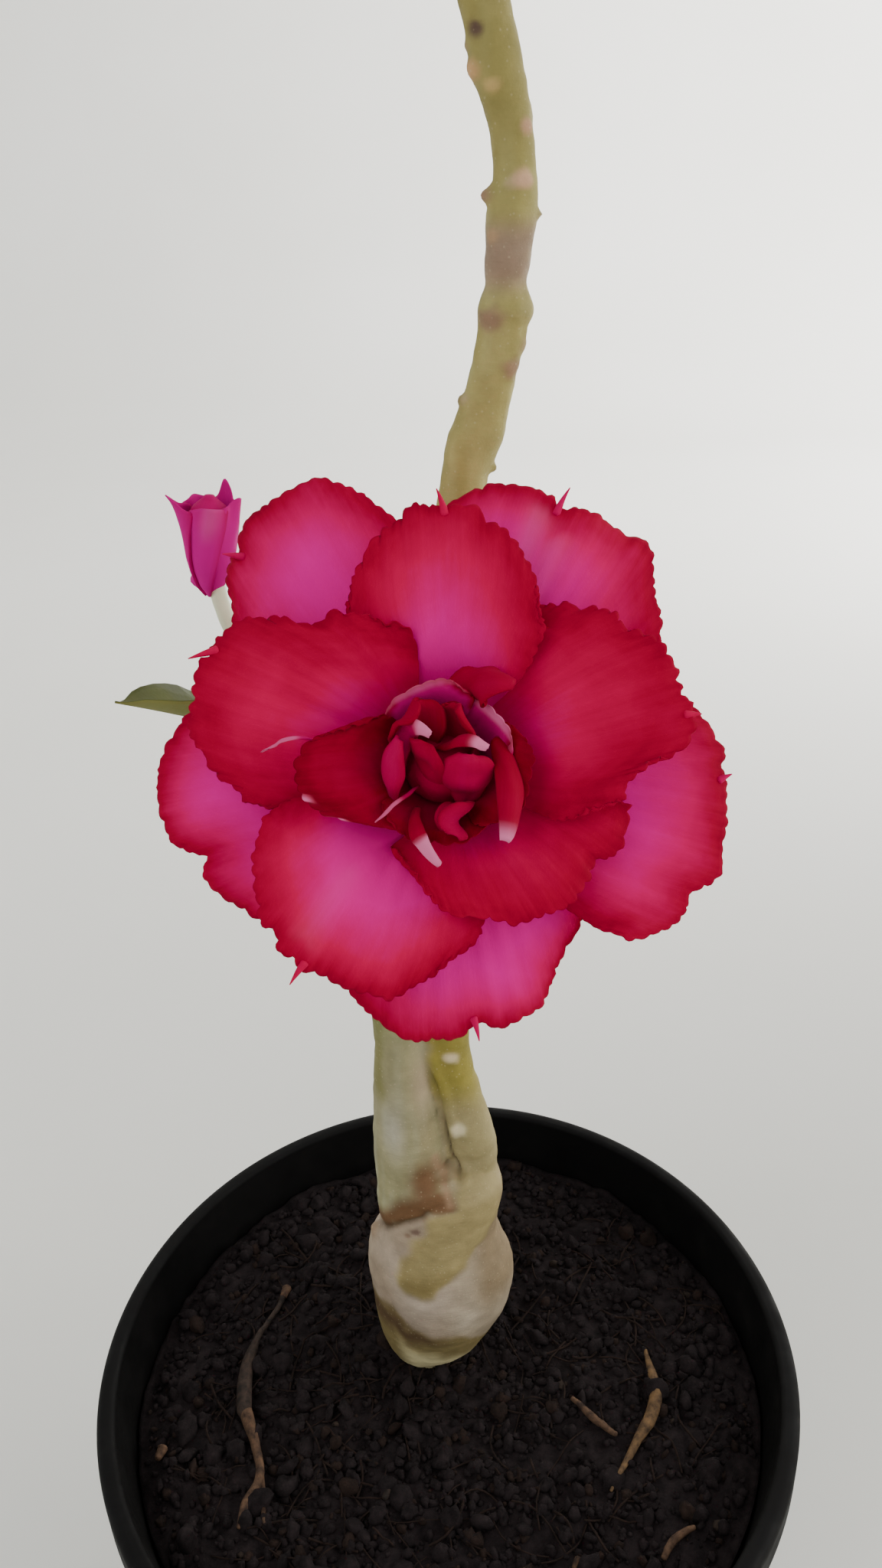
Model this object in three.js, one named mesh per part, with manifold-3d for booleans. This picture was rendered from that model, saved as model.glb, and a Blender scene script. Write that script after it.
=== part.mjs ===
// Potted desert rose: a grafted plant with a swollen trunk, one double bloom and a leafy crown.
// Millimetres, +Z up. The origin is the middle of the pot's flat underside, and -Y is the front.
import * as THREE from 'three';
import { LoftGeometry } from 'three/addons/geometries/LoftGeometry.js';
import { mergeVertices } from 'three/addons/utils/BufferGeometryUtils.js';
import Module from 'manifold-3d';

const wasm = await Module();
wasm.setup();

// Pot and potting mix
const POT_HEIGHT = 122;
const POT_RIM_RADIUS = 75;
const POT_BASE_RADIUS = 52;
const POT_WALL = 2;
const POT_FLOOR = 3;
const LIP_WIDTH = 4;
const LIP_DEPTH = 9;
const DRAIN_COUNT = 6;
const DRAIN_RADIUS = 4.5;
const DRAIN_CIRCLE = 32;
const SOIL_LEVEL = 110;

// Two pieces that touch on the real plant stand this far apart
const GAP = 0.3;

// Trunk stations: height over the soil, middle (x, y), half width and half depth
const TRUNK = [
  [0, -4.3, 10, 8.2, 7.8],
  [3, -4.0, 10, 9.8, 9.2],
  [7, -2.6, 10, 12.4, 11.6],
  [13, -1.4, 10, 14.4, 13.4],
  [21, -0.5, 10, 15.7, 14.4],
  [28, -0.7, 10, 15.8, 14.2],
  [34, -1.6, 10, 14.4, 12.8],
  [38, -1.0, 10, 12.8, 11.4],
  [43, -0.3, 10, 12.6, 11.0],
  [50, 0.2, 10, 13.3, 10.6],
  [55, 0.3, 10, 12.4, 9.4],
  [57, 0.3, 10, 10.6, 7.8],
];

// Stem stations: x, y, height over the soil and radius
const LEFT_STEM = [
  [-5.4, 10, 46, 6.8],
  [-5.5, 10, 56, 7.6],
  [-5.4, 10, 63, 7.5],
  [-5.9, 10, 74, 6.5],
  [-6.3, 10, 88, 5.05],
  [-6.8, 9, 110, 4.9],
  [-7.2, 7, 130, 4.7],
  [-7.4, 5.4, 145, 4.3],
];
const TALL_STEM = [
  [7.4, 10, 46, 5.2],
  [7.6, 10, 56, 5.2],
  [7.5, 10, 63, 4.9],
  [5.3, 10.4, 74, 4.2],
  [3.4, 11, 88, 4.15],
  [3.6, 11.6, 110, 4.3],
  [5.4, 12, 150, 4.2],
  [7.6, 12, 178, 3.95],
  [9.4, 12, 195, 3.75],
  [11.6, 12, 203, 3.9],
  [14.5, 12, 212.5, 3.35],
  [16.3, 12, 221, 3.45],
  [17.3, 12, 233, 3.5],
  [18, 12, 242, 3.2],
  [15.8, 12, 253, 3.3],
  [14, 12, 262, 3.5],
  [13.6, 12, 268, 3.5],
];

// Crown: branches from the tall stem's tip, which lean out, then turn up, and end in leaves.
// bend, out and up are shares of the length.
const BRANCH = {
  count: 3, firstAzimuth: 78, lean: 40, length: 52, baseRadius: 3.1, tipRadius: 2.5,
  sunk: 4, offset: 1.6, bend: 0.45, out: 0.25, up: 0.3,
};
// Leaf masses: sizes of the twigs and leaves, how many, and the radius of the mass's space
const CROWN_MASS = { twig: 24, sideTwigs: 3, sideTwig: 17, leaves: 13, sideLeaves: 4, leaf: 56, reach: 74 };
const SHOOT_MASS = { twig: 12, sideTwigs: 0, sideTwig: 0, leaves: 9, sideLeaves: 0, leaf: 35, reach: 54 };
const LEAF = { slimness: 0.34, thickness: 0.9, arch: 0.16, fold: 0.22, stalkWidth: 1.2 };
const LONG_LEAF = { azimuth: 188, fromAxis: 57, length: 44 };
const GOLDEN_ANGLE = 137.5;
// Leaves open wide at a twig's foot and close up, shorter, towards its tip
const SPIRAL = { from: 0.25, to: 0.97, openAngle: 84, closedAngle: 20, longest: 1.05, shortest: 0.62 };
const TWIG = { mainRadius: 2.3, sideRadius: 1.7, taper: 0.45, sideAngle: 48, sideLeafShare: 0.86 };
const JITTER = { azimuth: 20, angle: 10, side: 40 };

// Bloom: its middle, and the tilt that turns it to the front
const BLOOM_CENTRE = new THREE.Vector3(4.4, -44.6, 285.7);
const BLOOM_TILT = 63.6;
const PETAL_THICKNESS = 0.9;
const TUBE_WALL = 0.6;
const TUBE_TOP = -6;
const TUBE_END = -38;
const TUBE_TOP_RADIUS = 8;
const TUBE_END_RADIUS = 3;

// Each whorl climbs out of its throat on one curve and droops again towards its reach
const OUTER_WHORL = { throat: 8, floor: -6, rise: 6, scale: 6, droop: 4, span: 38, tilt: 2 };
const MIDDLE_WHORL = { throat: 6.5, floor: -4, rise: 11, scale: 5.5, droop: 2, span: 33, tilt: 2 };
const INNER_WHORL = { throat: 4.4, floor: -1, rise: 11.5, scale: 3.5, droop: 1, span: 20, tilt: 1 };

// Petals: direction of the tip, reach, half widths (clockwise and counter-clockwise side)
// and how far each shoulder falls back from the tip, as a share of the reach
const OUTER_PETALS = [
  { at: 118, reach: 39, cw: 13, ccw: 14, fallCw: 0.4, fallCcw: 0.26 },
  { at: 66, reach: 37, cw: 20, ccw: 15, fallCw: 0.24, fallCcw: 0.35 },
  { at: -18, reach: 36.5, cw: 15, ccw: 19, fallCw: 0.15, fallCcw: 0.3 },
  { at: -86, reach: 33.5, cw: 20, ccw: 18, fallCw: 0.4, fallCcw: 0.55 },
  { at: 193, reach: 33.7, cw: 18, ccw: 16, fallCw: 0.5, fallCcw: 0.45 },
];
const MIDDLE_PETALS = [
  { at: 89, reach: 30.6, cw: 12.5, ccw: 12, fallCw: 0.42, fallCcw: 0.44 },
  { at: 156, reach: 31.2, cw: 14, ccw: 13, fallCw: 0.55, fallCcw: 0.33 },
  { at: 239, reach: 29.4, cw: 15.5, ccw: 14, fallCw: 0.5, fallCcw: 0.34 },
  { at: -64, reach: 21.5, cw: 11, ccw: 16, fallCw: 0.45, fallCcw: 0.3 },
  { at: 14, reach: 30.2, cw: 13, ccw: 15.5, fallCw: 0.55, fallCcw: 0.32 },
];
const INNER_PETALS = [
  { at: 182, reach: 18.5, cw: 9, ccw: 7, fallCw: 0.35, fallCcw: 0.35 },
  { at: 110, reach: 10.5, cw: 6, ccw: 6, fallCw: 0.2, fallCcw: 0.2 },
  { at: 50, reach: 9.5, cw: 5, ccw: 5, fallCw: 0.2, fallCcw: 0.2 },
  { at: -18, reach: 13, cw: 5, ccw: 6, fallCw: 0.25, fallCcw: 0.25 },
  { at: -98, reach: 12, cw: 6, ccw: 6, fallCw: 0.25, fallCcw: 0.25 },
];
const PETAL_HALF_ANGLE = 38;

// Flower stalk and bud
const SEPALS = { count: 5, length: 9, width: 5.5, thickness: 0.8 };
const CALYX_LENGTH = 7;
const STALK_RADIUS = 1.8;
const BUD_TIP = new THREE.Vector3(-29.4, 8, 307.4);
const BUD_BASE = new THREE.Vector3(-30.2, 8, 291.6);
const BUD_LOBES = 5;
// Shares of the bud's height, and its radius there
const BUD_PROFILE = [[0, 2.2], [0.2, 3.9], [0.45, 5.0], [0.7, 4.4], [0.88, 2.8], [1, 1.2]];
// The bud's stalk: x, y, height over the soil and radius, from the shoot up to the bud
const BUD_STALK = [
  [-7.4, 6, 142, 1.5],
  [-14, 9.5, 152, 1.3],
  [-22, 10, 163, 1.2],
  [-28.2, 8.6, 174, 1.3],
  [-29.8, 8, 179, 1.7],
  [-30.2, 8, 181.6, 2.4],
];

const UP = new THREE.Vector3(0, 0, 1);
const radians = THREE.MathUtils.degToRad;
const lerp = THREE.MathUtils.lerp;
const station = (point, radius) => [point.x, point.y, point.z, radius];
const pointOf = ([x, y, z]) => new THREE.Vector3(x, y, z);

const material = (color, roughness) => new THREE.MeshStandardMaterial({ color, roughness, metalness: 0 });
const blackPlastic = material(0x0d0d0d, 0.55);
const pottingMix = material(0x2a1f1a, 0.95);
const trunkBark = material(0x93857a, 0.8);
const greyBark = material(0x8f8d78, 0.75);
const oliveBark = material(0x958a55, 0.65);
const leafGreen = material(0x5f7222, 0.5);
const outerMagenta = material(0xcc0f78, 0.6);
const crimson = material(0xb01038, 0.6);
const deepCrimson = material(0x8e0c30, 0.6);
const paleGreen = material(0x8a9a52, 0.6);

// A small generator of repeatable random numbers between 0 and 1
function seeded(seed) {
  let state = seed;
  return () => {
    state = (state + 0x6d2b79f5) | 0;
    let mixed = Math.imul(state ^ (state >>> 15), 1 | state);
    mixed = (mixed + Math.imul(mixed ^ (mixed >>> 7), 61 | mixed)) ^ mixed;
    return ((mixed ^ (mixed >>> 14)) >>> 0) / 4294967296;
  };
}
const random = seeded(11);

// A closed geometry as a solid that can be joined and cut
function toSolid(geometry) {
  const bare = new THREE.BufferGeometry();
  bare.setAttribute('position', geometry.attributes.position);
  bare.setIndex(geometry.index);
  const merged = mergeVertices(bare, 1e-4);
  const vertProperties = new Float32Array(merged.attributes.position.array);
  const corners = merged.index.array;
  const kept = [];
  for (let i = 0; i < corners.length; i += 3) {
    const [a, b, c] = [corners[i], corners[i + 1], corners[i + 2]];
    if (a !== b && b !== c && c !== a) kept.push(a, b, c);
  }
  return new wasm.Manifold(new wasm.Mesh({ numProp: 3, vertProperties, triVerts: new Uint32Array(kept) }));
}

// The largest body of a solid as a geometry, without loose scraps or sealed hollows
function toGeometry(solid) {
  const [body] = solid.decompose().sort((a, b) => b.volume() - a.volume());
  const { vertProperties, triVerts } = body.getMesh();
  const geometry = new THREE.BufferGeometry();
  geometry.setAttribute('position', new THREE.BufferAttribute(vertProperties, 3));
  geometry.setIndex(new THREE.BufferAttribute(triVerts, 1));
  geometry.computeVertexNormals();
  return geometry;
}

const loft = (sections) => new LoftGeometry(sections, { capStart: true, capEnd: true });
const join = (parts) => wasm.Manifold.union(parts);

// A round limb through stations of (x, y, z, radius), with a number of rings between stations
function limb(stations, { sides = 12, steps = 1, grow = 0 } = {}) {
  const path = new THREE.CatmullRomCurve3(stations.map(pointOf));
  const widths = new THREE.CatmullRomCurve3(stations.map(([, , , r]) => new THREE.Vector3(r, 0, 0)));
  const rings = (stations.length - 1) * steps;
  const normal = new THREE.Vector3(0.3, 1, 0.1);
  const sections = [];
  for (let i = 0; i <= rings; i++) {
    const centre = path.getPoint(i / rings);
    const tangent = path.getTangent(i / rings);
    const radius = widths.getPoint(i / rings).x + grow;
    normal.addScaledVector(tangent, -normal.dot(tangent)).normalize();
    const binormal = new THREE.Vector3().crossVectors(tangent, normal);
    const ring = [];
    for (let j = 0; j < sides; j++) {
      const angle = (j / sides) * 2 * Math.PI;
      ring.push(centre.clone()
        .addScaledVector(normal, radius * Math.cos(angle))
        .addScaledVector(binormal, radius * Math.sin(angle)));
    }
    sections.push(ring);
  }
  return loft(sections);
}

// The distance from a point to a limb's surface
function distanceToLimb(point, stations) {
  let nearest = Infinity;
  const foot = new THREE.Vector3();
  for (let i = 1; i < stations.length; i++) {
    const [a, b] = [stations[i - 1], stations[i]];
    new THREE.Line3(pointOf(a), pointOf(b)).closestPointToPoint(point, true, foot);
    nearest = Math.min(nearest, foot.distanceTo(point) - Math.max(a[3], b[3]));
  }
  return nearest;
}

const overSoil = (stations) => stations.map(([x, y, z, r]) => [x, y, z + SOIL_LEVEL, r]);

// Pot: one turned wall with a rolled lip, and drain holes in its floor
function potGeometry() {
  const inside = POT_RIM_RADIUS - LIP_WIDTH;
  const outside = inside + POT_WALL;
  const profile = [
    [0, 0],
    [POT_BASE_RADIUS - 1.5, 0],
    [POT_BASE_RADIUS, 1.5],
    [outside - LIP_DEPTH * 0.15, POT_HEIGHT - LIP_DEPTH - 1],
    [POT_RIM_RADIUS - 0.6, POT_HEIGHT - LIP_DEPTH],
    [POT_RIM_RADIUS, POT_HEIGHT - 1.5],
    [POT_RIM_RADIUS - 1.2, POT_HEIGHT],
    [inside + 1, POT_HEIGHT],
    [inside, POT_HEIGHT - 1],
    [POT_BASE_RADIUS - POT_WALL, POT_FLOOR],
    [0, POT_FLOOR],
  ].map(([r, z]) => new THREE.Vector2(r, z));
  const turned = new THREE.LatheGeometry(profile, 48).rotateX(Math.PI / 2);
  let pot = toSolid(turned);
  for (let i = 0; i < DRAIN_COUNT; i++) {
    const angle = (i / DRAIN_COUNT) * 2 * Math.PI;
    const drill = new THREE.CylinderGeometry(DRAIN_RADIUS, DRAIN_RADIUS, POT_FLOOR * 4, 12);
    drill.rotateX(Math.PI / 2);
    drill.translate(DRAIN_CIRCLE * Math.cos(angle), DRAIN_CIRCLE * Math.sin(angle), 0);
    pot = pot.subtract(toSolid(drill));
  }
  return toGeometry(pot);
}

// Potting mix: fills the pot to the soil level, a little clear of the wall
function pottingMixGeometry() {
  const lowRadius = POT_BASE_RADIUS - POT_WALL;
  const highRadius = POT_RIM_RADIUS - LIP_WIDTH;
  const wallRadius = (z) => THREE.MathUtils.mapLinear(z, POT_FLOOR, POT_HEIGHT - 1, lowRadius, highRadius);
  const floor = POT_FLOOR + GAP;
  const edge = SOIL_LEVEL - 1.5;
  const profile = [
    [0, floor],
    [wallRadius(floor) - 2 * GAP, floor],
    [wallRadius(edge) - 2 * GAP, edge],
    [wallRadius(edge) - 8, SOIL_LEVEL],
    [0, SOIL_LEVEL],
  ].map(([r, z]) => new THREE.Vector2(r, z));
  return new THREE.LatheGeometry(profile, 48).rotateX(Math.PI / 2);
}

// Trunk: stacked oval sections, cut flat just over the soil
function trunkGeometry(grow = 0) {
  const sides = 24;
  const curve = (pick) => new THREE.CatmullRomCurve3(TRUNK.map(pick));
  const middles = curve(([h, x, y]) => new THREE.Vector3(x, y, h));
  const sizes = curve(([, , , wide, deep]) => new THREE.Vector3(wide, deep, 0));
  const sections = [];
  const rings = TRUNK.length - 1;
  for (let i = 0; i <= rings; i++) {
    const middle = middles.getPoint(i / rings);
    const size = sizes.getPoint(i / rings);
    const z = SOIL_LEVEL + GAP + middle.z + (i === rings ? grow : 0) - (i === 0 ? grow : 0);
    const ring = [];
    for (let j = 0; j < sides; j++) {
      const angle = (j / sides) * 2 * Math.PI;
      const ridge = 1 + 0.02 * Math.sin(3 * angle + middle.z * 0.06);
      ring.push(new THREE.Vector3(
        middle.x + (size.x * ridge + grow) * Math.cos(angle),
        middle.y + (size.y * ridge + grow) * Math.sin(angle),
        z,
      ));
    }
    sections.push(ring);
  }
  return loft(sections);
}

// A leaf along local x, widest past its middle, folded along its rib and arched over
function leafGeometry(length, root, direction, face) {
  const stops = [0, 0.25, 0.55, 0.82, 1];
  const halfWidth = (length * LEAF.slimness) / 2;
  const sections = stops.map((u) => {
    const blade = halfWidth * Math.sin(Math.PI * u ** 1.6) ** 0.85;
    const wide = Math.max(blade, (LEAF.stalkWidth / 2) * (1 - 0.6 * u));
    const drop = -LEAF.arch * length * u * u;
    const thick = LEAF.thickness * (u === 1 ? 0.5 : 1);
    return [
      new THREE.Vector3(u * length, wide, drop + LEAF.fold * wide),
      new THREE.Vector3(u * length, 0, drop + thick / 2),
      new THREE.Vector3(u * length, -wide, drop + LEAF.fold * wide),
      new THREE.Vector3(u * length, 0, drop - thick / 2),
    ];
  });
  const across = new THREE.Vector3().crossVectors(face, direction);
  const placing = new THREE.Matrix4().makeBasis(direction, across, face).setPosition(root);
  return loft(sections).applyMatrix4(placing);
}

// A direction at an angle from an axis and an azimuth round it
function tilted(axis, azimuth, fromAxis) {
  const side = new THREE.Vector3(1, 0, 0).addScaledVector(axis, -axis.x).normalize();
  const radial = side.applyAxisAngle(axis, radians(azimuth));
  const direction = axis.clone().multiplyScalar(Math.cos(radians(fromAxis)))
    .addScaledVector(radial, Math.sin(radians(fromAxis)));
  const face = axis.clone().multiplyScalar(Math.sin(radians(fromAxis)))
    .addScaledVector(radial, -Math.cos(radians(fromAxis)));
  return { direction, face };
}

// One mass of leaves: a twig with side twigs, and leaves that climb each of them in a spiral.
// A leaf that would leave the mass's space is skipped.
function leafMass(start, axis, size, inSpace, firstLeaf = null) {
  const parts = [];
  const addLeaf = (root, twigAxis, azimuth, fromAxis, length) => {
    const { direction, face } = tilted(twigAxis, azimuth, fromAxis);
    const leaf = leafGeometry(length, root, direction, face);
    const positions = leaf.attributes.position;
    for (let i = 0; i < positions.count; i++) {
      const point = new THREE.Vector3().fromBufferAttribute(positions, i);
      const nearRoot = point.distanceTo(root) < length * 0.2;
      if (!nearRoot && !inSpace(point)) return;
    }
    parts.push(toSolid(leaf));
  };
  const addTwig = (foot, twigAxis, length, leaves, radius, leafLength) => {
    const tip = foot.clone().addScaledVector(twigAxis, length);
    const ends = [station(foot, radius), station(tip, radius * TWIG.taper)];
    parts.push(toSolid(limb(ends, { sides: 7, steps: 2 })));
    const turn = random() * 360;
    for (let k = 0; k < leaves; k++) {
      const u = lerp(SPIRAL.from, SPIRAL.to, k / (leaves - 1));
      const root = foot.clone().lerp(tip, u);
      const azimuth = turn + k * GOLDEN_ANGLE + (random() - 0.5) * JITTER.azimuth;
      const fromAxis = lerp(SPIRAL.openAngle, SPIRAL.closedAngle, u) + (random() - 0.5) * JITTER.angle;
      addLeaf(root, twigAxis, azimuth, fromAxis, leafLength * lerp(SPIRAL.longest, SPIRAL.shortest, u));
    }
  };
  addTwig(start, axis, size.twig, size.leaves, TWIG.mainRadius, size.leaf);
  for (let i = 0; i < size.sideTwigs; i++) {
    const foot = start.clone().addScaledVector(axis, size.twig * (0.3 + 0.15 * i));
    const azimuth = i * (360 / size.sideTwigs) + random() * JITTER.side;
    const { direction } = tilted(axis, azimuth, TWIG.sideAngle);
    const leaf = size.leaf * TWIG.sideLeafShare;
    addTwig(foot, direction, size.sideTwig, size.sideLeaves, TWIG.sideRadius, leaf);
  }
  if (firstLeaf) {
    const root = start.clone().addScaledVector(axis, size.twig / 3);
    addLeaf(root, axis, firstLeaf.azimuth, firstLeaf.fromAxis, firstLeaf.length);
  }
  return join(parts);
}

// A petal's surface in the bloom's own frame: s runs across from -1 to 1, t from claw to rim
function petalPoint(whorl, petal, s, t) {
  const facing = radians(petal.at);
  const along = new THREE.Vector2(Math.cos(facing), Math.sin(facing));
  const across = new THREE.Vector2(Math.sin(facing), -Math.cos(facing));
  const half = radians(PETAL_HALF_ANGLE) * s;
  const claw = along.clone().multiplyScalar(whorl.throat * Math.cos(half))
    .addScaledVector(across, whorl.throat * Math.sin(half));
  const fall = (s > 0 ? petal.fallCw : petal.fallCcw) * Math.abs(s) ** 3;
  const width = s > 0 ? petal.cw : petal.ccw;
  const rim = along.clone().multiplyScalar(petal.reach * (1 - fall)).addScaledVector(across, width * s);
  const belly = 2 * s * Math.sin(Math.PI * t);
  const point = claw.multiplyScalar(1 - t).addScaledVector(rim, t).addScaledVector(across, belly);
  const out = Math.max(point.length() - whorl.throat, 0);
  const droop = whorl.droop * (out / (whorl.span - whorl.throat)) ** 3;
  const climb = whorl.rise * (1 - Math.exp(-out / whorl.scale));
  return new THREE.Vector3(point.x, point.y, whorl.floor + climb - droop + whorl.tilt * s * t);
}

// A petal is thin at its claw and its rim, where the upper and lower face meet in one edge
function petalGeometry(whorl, petal, grow = 0) {
  const across = 6;
  const stops = [0, 0.08, 0.22, 0.48, 0.8, 1];
  const sections = stops.map((t) => {
    const half = grow + (t === 0 || t === 1 ? 0 : PETAL_THICKNESS / 2);
    const ring = [];
    for (const side of [1, -1]) {
      for (let j = 0; j <= across; j++) {
        const point = petalPoint(whorl, petal, side * (-1 + (2 * j) / across), t);
        point.z += side * half;
        ring.push(point);
      }
    }
    return ring;
  });
  return new LoftGeometry(sections, { capStart: grow > 0, capEnd: grow > 0 });
}

// The radius of the bloom's tube at a height in the bloom's own frame
function tubeRadius(h) {
  return THREE.MathUtils.mapLinear(h, TUBE_END, TUBE_TOP, TUBE_END_RADIUS, TUBE_TOP_RADIUS);
}

// A turned shell between two heights, whose middle line keeps a distance inside the tube
function tubeGeometry(low, high, inset, wall) {
  const points = [[low, wall], [high, wall], [high, -wall], [low, -wall]];
  const profile = points.map(([h, half]) => new THREE.Vector2(tubeRadius(h) - inset + half, h));
  profile.push(profile[0].clone());
  return new THREE.LatheGeometry(profile, 24).rotateX(Math.PI / 2);
}

// One whorl: its petals fused to its own tube
function whorlSolid(whorl, petals, tube, grow = 0) {
  return join([tube, ...petals.map((petal) => toSolid(petalGeometry(whorl, petal, grow)))]);
}

function solidCone(low, high, inset) {
  const profile = [[0, low], [tubeRadius(low) - inset, low], [tubeRadius(high) - inset, high], [0, high]];
  const points = profile.map(([r, h]) => new THREE.Vector2(r, h));
  return toSolid(new THREE.LatheGeometry(points, 20).rotateX(Math.PI / 2));
}

const TUBE_STEP = 2 * TUBE_WALL + GAP;
const outerTube = toSolid(tubeGeometry(TUBE_END, TUBE_TOP + 0.5, 0, TUBE_WALL));
const middleTube = toSolid(tubeGeometry(TUBE_END + 4, MIDDLE_WHORL.floor + 0.5, TUBE_STEP, TUBE_WALL));
const innerCore = solidCone(TUBE_END + 8, 6, 2 * TUBE_STEP - TUBE_WALL);

const outerSolid = whorlSolid(OUTER_WHORL, OUTER_PETALS, outerTube);
const middleSolid = whorlSolid(MIDDLE_WHORL, MIDDLE_PETALS, middleTube);
const middleRoom = whorlSolid(MIDDLE_WHORL, MIDDLE_PETALS, middleTube, GAP);
const innerSolid = whorlSolid(INNER_WHORL, INNER_PETALS, innerCore).subtract(middleRoom);

// Flower stalk: a cup with sepals round the tube's foot, and a short stalk back to the shoot
function bloomStalkSolid(toRow) {
  const cupFoot = TUBE_END - 3;
  const cupTop = TUBE_END + CALYX_LENGTH;
  const outside = (h) => tubeRadius(h) + TUBE_WALL + GAP + SEPALS.thickness;
  const profile = [[0, cupFoot - 1], [STALK_RADIUS, cupFoot - 1], [outside(TUBE_END), TUBE_END],
    [outside(cupTop), cupTop], [0, cupTop]].map(([r, h]) => new THREE.Vector2(r, h));
  const parts = [toSolid(new THREE.LatheGeometry(profile, 20).rotateX(Math.PI / 2))];
  for (let i = 0; i < SEPALS.count; i++) {
    const stops = [0, 0.4, 0.75, 1];
    const sections = stops.map((u) => {
      const h = cupTop - 2 + u * SEPALS.length;
      const r = outside(h) - SEPALS.thickness * 0.6 + 1.2 * u * u;
      const wide = (SEPALS.width / 2) * (1 - 0.85 * u ** 1.5);
      return [
        new THREE.Vector3(r + SEPALS.thickness / 2, -wide, h),
        new THREE.Vector3(r + SEPALS.thickness / 2, wide, h),
        new THREE.Vector3(r - SEPALS.thickness / 2, wide, h),
        new THREE.Vector3(r - SEPALS.thickness / 2, -wide, h),
      ];
    });
    parts.push(toSolid(loft(sections).rotateZ(radians(i * 360 / SEPALS.count + 36))));
  }
  const tubeRoom = solidCone(TUBE_END - GAP, cupTop + SEPALS.length, -(TUBE_WALL + GAP));
  const calyx = join(parts).subtract(tubeRoom);
  const calyxInRow = toGeometry(calyx).applyMatrix4(toRow);
  const foot = new THREE.Vector3(0, 0, cupFoot).applyMatrix4(toRow);
  const behind = new THREE.Vector3(0, 0, cupFoot - 4).applyMatrix4(toRow);
  const shoot = pointOf(overSoil(LEFT_STEM).at(-1)).add(new THREE.Vector3(1, -1, -2));
  const stalk = limb([
    station(shoot, STALK_RADIUS * 1.2),
    station(shoot.clone().lerp(behind, 0.6), STALK_RADIUS),
    station(behind, STALK_RADIUS),
    station(foot, STALK_RADIUS),
  ], { sides: 10, steps: 2 });
  return join([toSolid(calyxInRow), toSolid(stalk)]);
}

// Bud: a pointed spindle whose petal tips curl out at the top
function budSolid() {
  const foot = BUD_BASE.clone().addScaledVector(UP, 2 * GAP);
  const stations = BUD_PROFILE.map(([share, radius]) => station(foot.clone().lerp(BUD_TIP, share), radius));
  const parts = [toSolid(limb(stations, { sides: 10, steps: 2 }))];
  for (let i = 0; i < BUD_LOBES; i++) {
    const azimuth = radians(i * (360 / BUD_LOBES) + 20);
    const at = (out, up, radius) => [
      BUD_TIP.x + out * Math.cos(azimuth), BUD_TIP.y + out * Math.sin(azimuth), BUD_TIP.z + up, radius,
    ];
    parts.push(toSolid(limb([at(2.4, -6, 1.6), at(3.4, -2, 1.4), at(5.2, 1, 0.5)], { sides: 5 })));
  }
  return join(parts);
}

const group = new THREE.Group();

function add(name, geometry, finish, parent = group) {
  const mesh = new THREE.Mesh(geometry, finish);
  mesh.name = name;
  parent.add(mesh);
}

add('pot', potGeometry(), blackPlastic);
add('potting_mix', pottingMixGeometry(), pottingMix);
add('trunk', trunkGeometry(), trunkBark);

const trunkRoom = toSolid(trunkGeometry(GAP));
const leftStem = overSoil(LEFT_STEM);
const tallStem = overSoil(TALL_STEM);
const leftSolid = toSolid(limb(leftStem)).subtract(trunkRoom);
const leftRoom = toSolid(limb(leftStem, { grow: GAP }));
const tallSolid = toSolid(limb(tallStem)).subtract(trunkRoom).subtract(leftRoom);
const tallRoom = toSolid(limb(tallStem, { grow: GAP }));
add('left_stem', toGeometry(leftSolid), greyBark);
add('tall_stem', toGeometry(tallSolid), oliveBark);

// The crown's branches leave the tall stem's tip in turn, each clear of the one before
const crownTip = pointOf(tallStem.at(-1));
const branches = [];
let taken = tallRoom;
for (let i = 0; i < BRANCH.count; i++) {
  const { direction } = tilted(UP, BRANCH.firstAzimuth + i * (360 / BRANCH.count), BRANCH.lean);
  const out = new THREE.Vector3(direction.x, direction.y, 0).normalize();
  const foot = crownTip.clone().addScaledVector(out, BRANCH.offset).addScaledVector(UP, -BRANCH.sunk);
  const bend = foot.clone().addScaledVector(direction, BRANCH.length * BRANCH.bend);
  const tip = bend.clone().addScaledVector(direction, BRANCH.length * BRANCH.out)
    .addScaledVector(UP, BRANCH.length * BRANCH.up);
  const stations = [
    station(foot, BRANCH.baseRadius),
    station(bend, (BRANCH.baseRadius + BRANCH.tipRadius) / 2),
    station(tip, BRANCH.tipRadius),
  ];
  const axis = tip.clone().sub(bend).normalize();
  const solid = toSolid(limb(stations, { sides: 10, steps: 3 })).subtract(taken);
  const room = toSolid(limb(stations, { sides: 10, steps: 3, grow: GAP }));
  taken = taken.add(room);
  branches.push({ stations, axis, tip, room });
  add(`crown_branch_${i + 1}`, toGeometry(solid), oliveBark);
}

// Each crown mass keeps to its own side of its neighbours and clear of every branch
branches.forEach((branch, i) => {
  const centre = branch.tip.clone().addScaledVector(branch.axis, CROWN_MASS.twig / 2);
  const others = branches.filter((other) => other !== branch);
  const inSpace = (point) => {
    if (point.distanceTo(centre) > CROWN_MASS.reach) return false;
    const nearerHere = others.every((other) => {
      const theirs = other.tip.clone().addScaledVector(other.axis, CROWN_MASS.twig / 2);
      const wall = theirs.clone().sub(centre).normalize();
      return point.clone().sub(centre.clone().lerp(theirs, 0.5)).dot(wall) < -GAP;
    });
    const limbs = [tallStem, ...branches.map(({ stations }) => stations)];
    return nearerHere && limbs.every((stations) => distanceToLimb(point, stations) > 2 * GAP);
  };
  const start = branch.tip.clone().addScaledVector(branch.axis, -1);
  const mass = leafMass(start, branch.axis, CROWN_MASS, inSpace).subtract(branch.room);
  add(`leaf_mass_${i + 1}`, toGeometry(mass), leafGreen);
});

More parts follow.
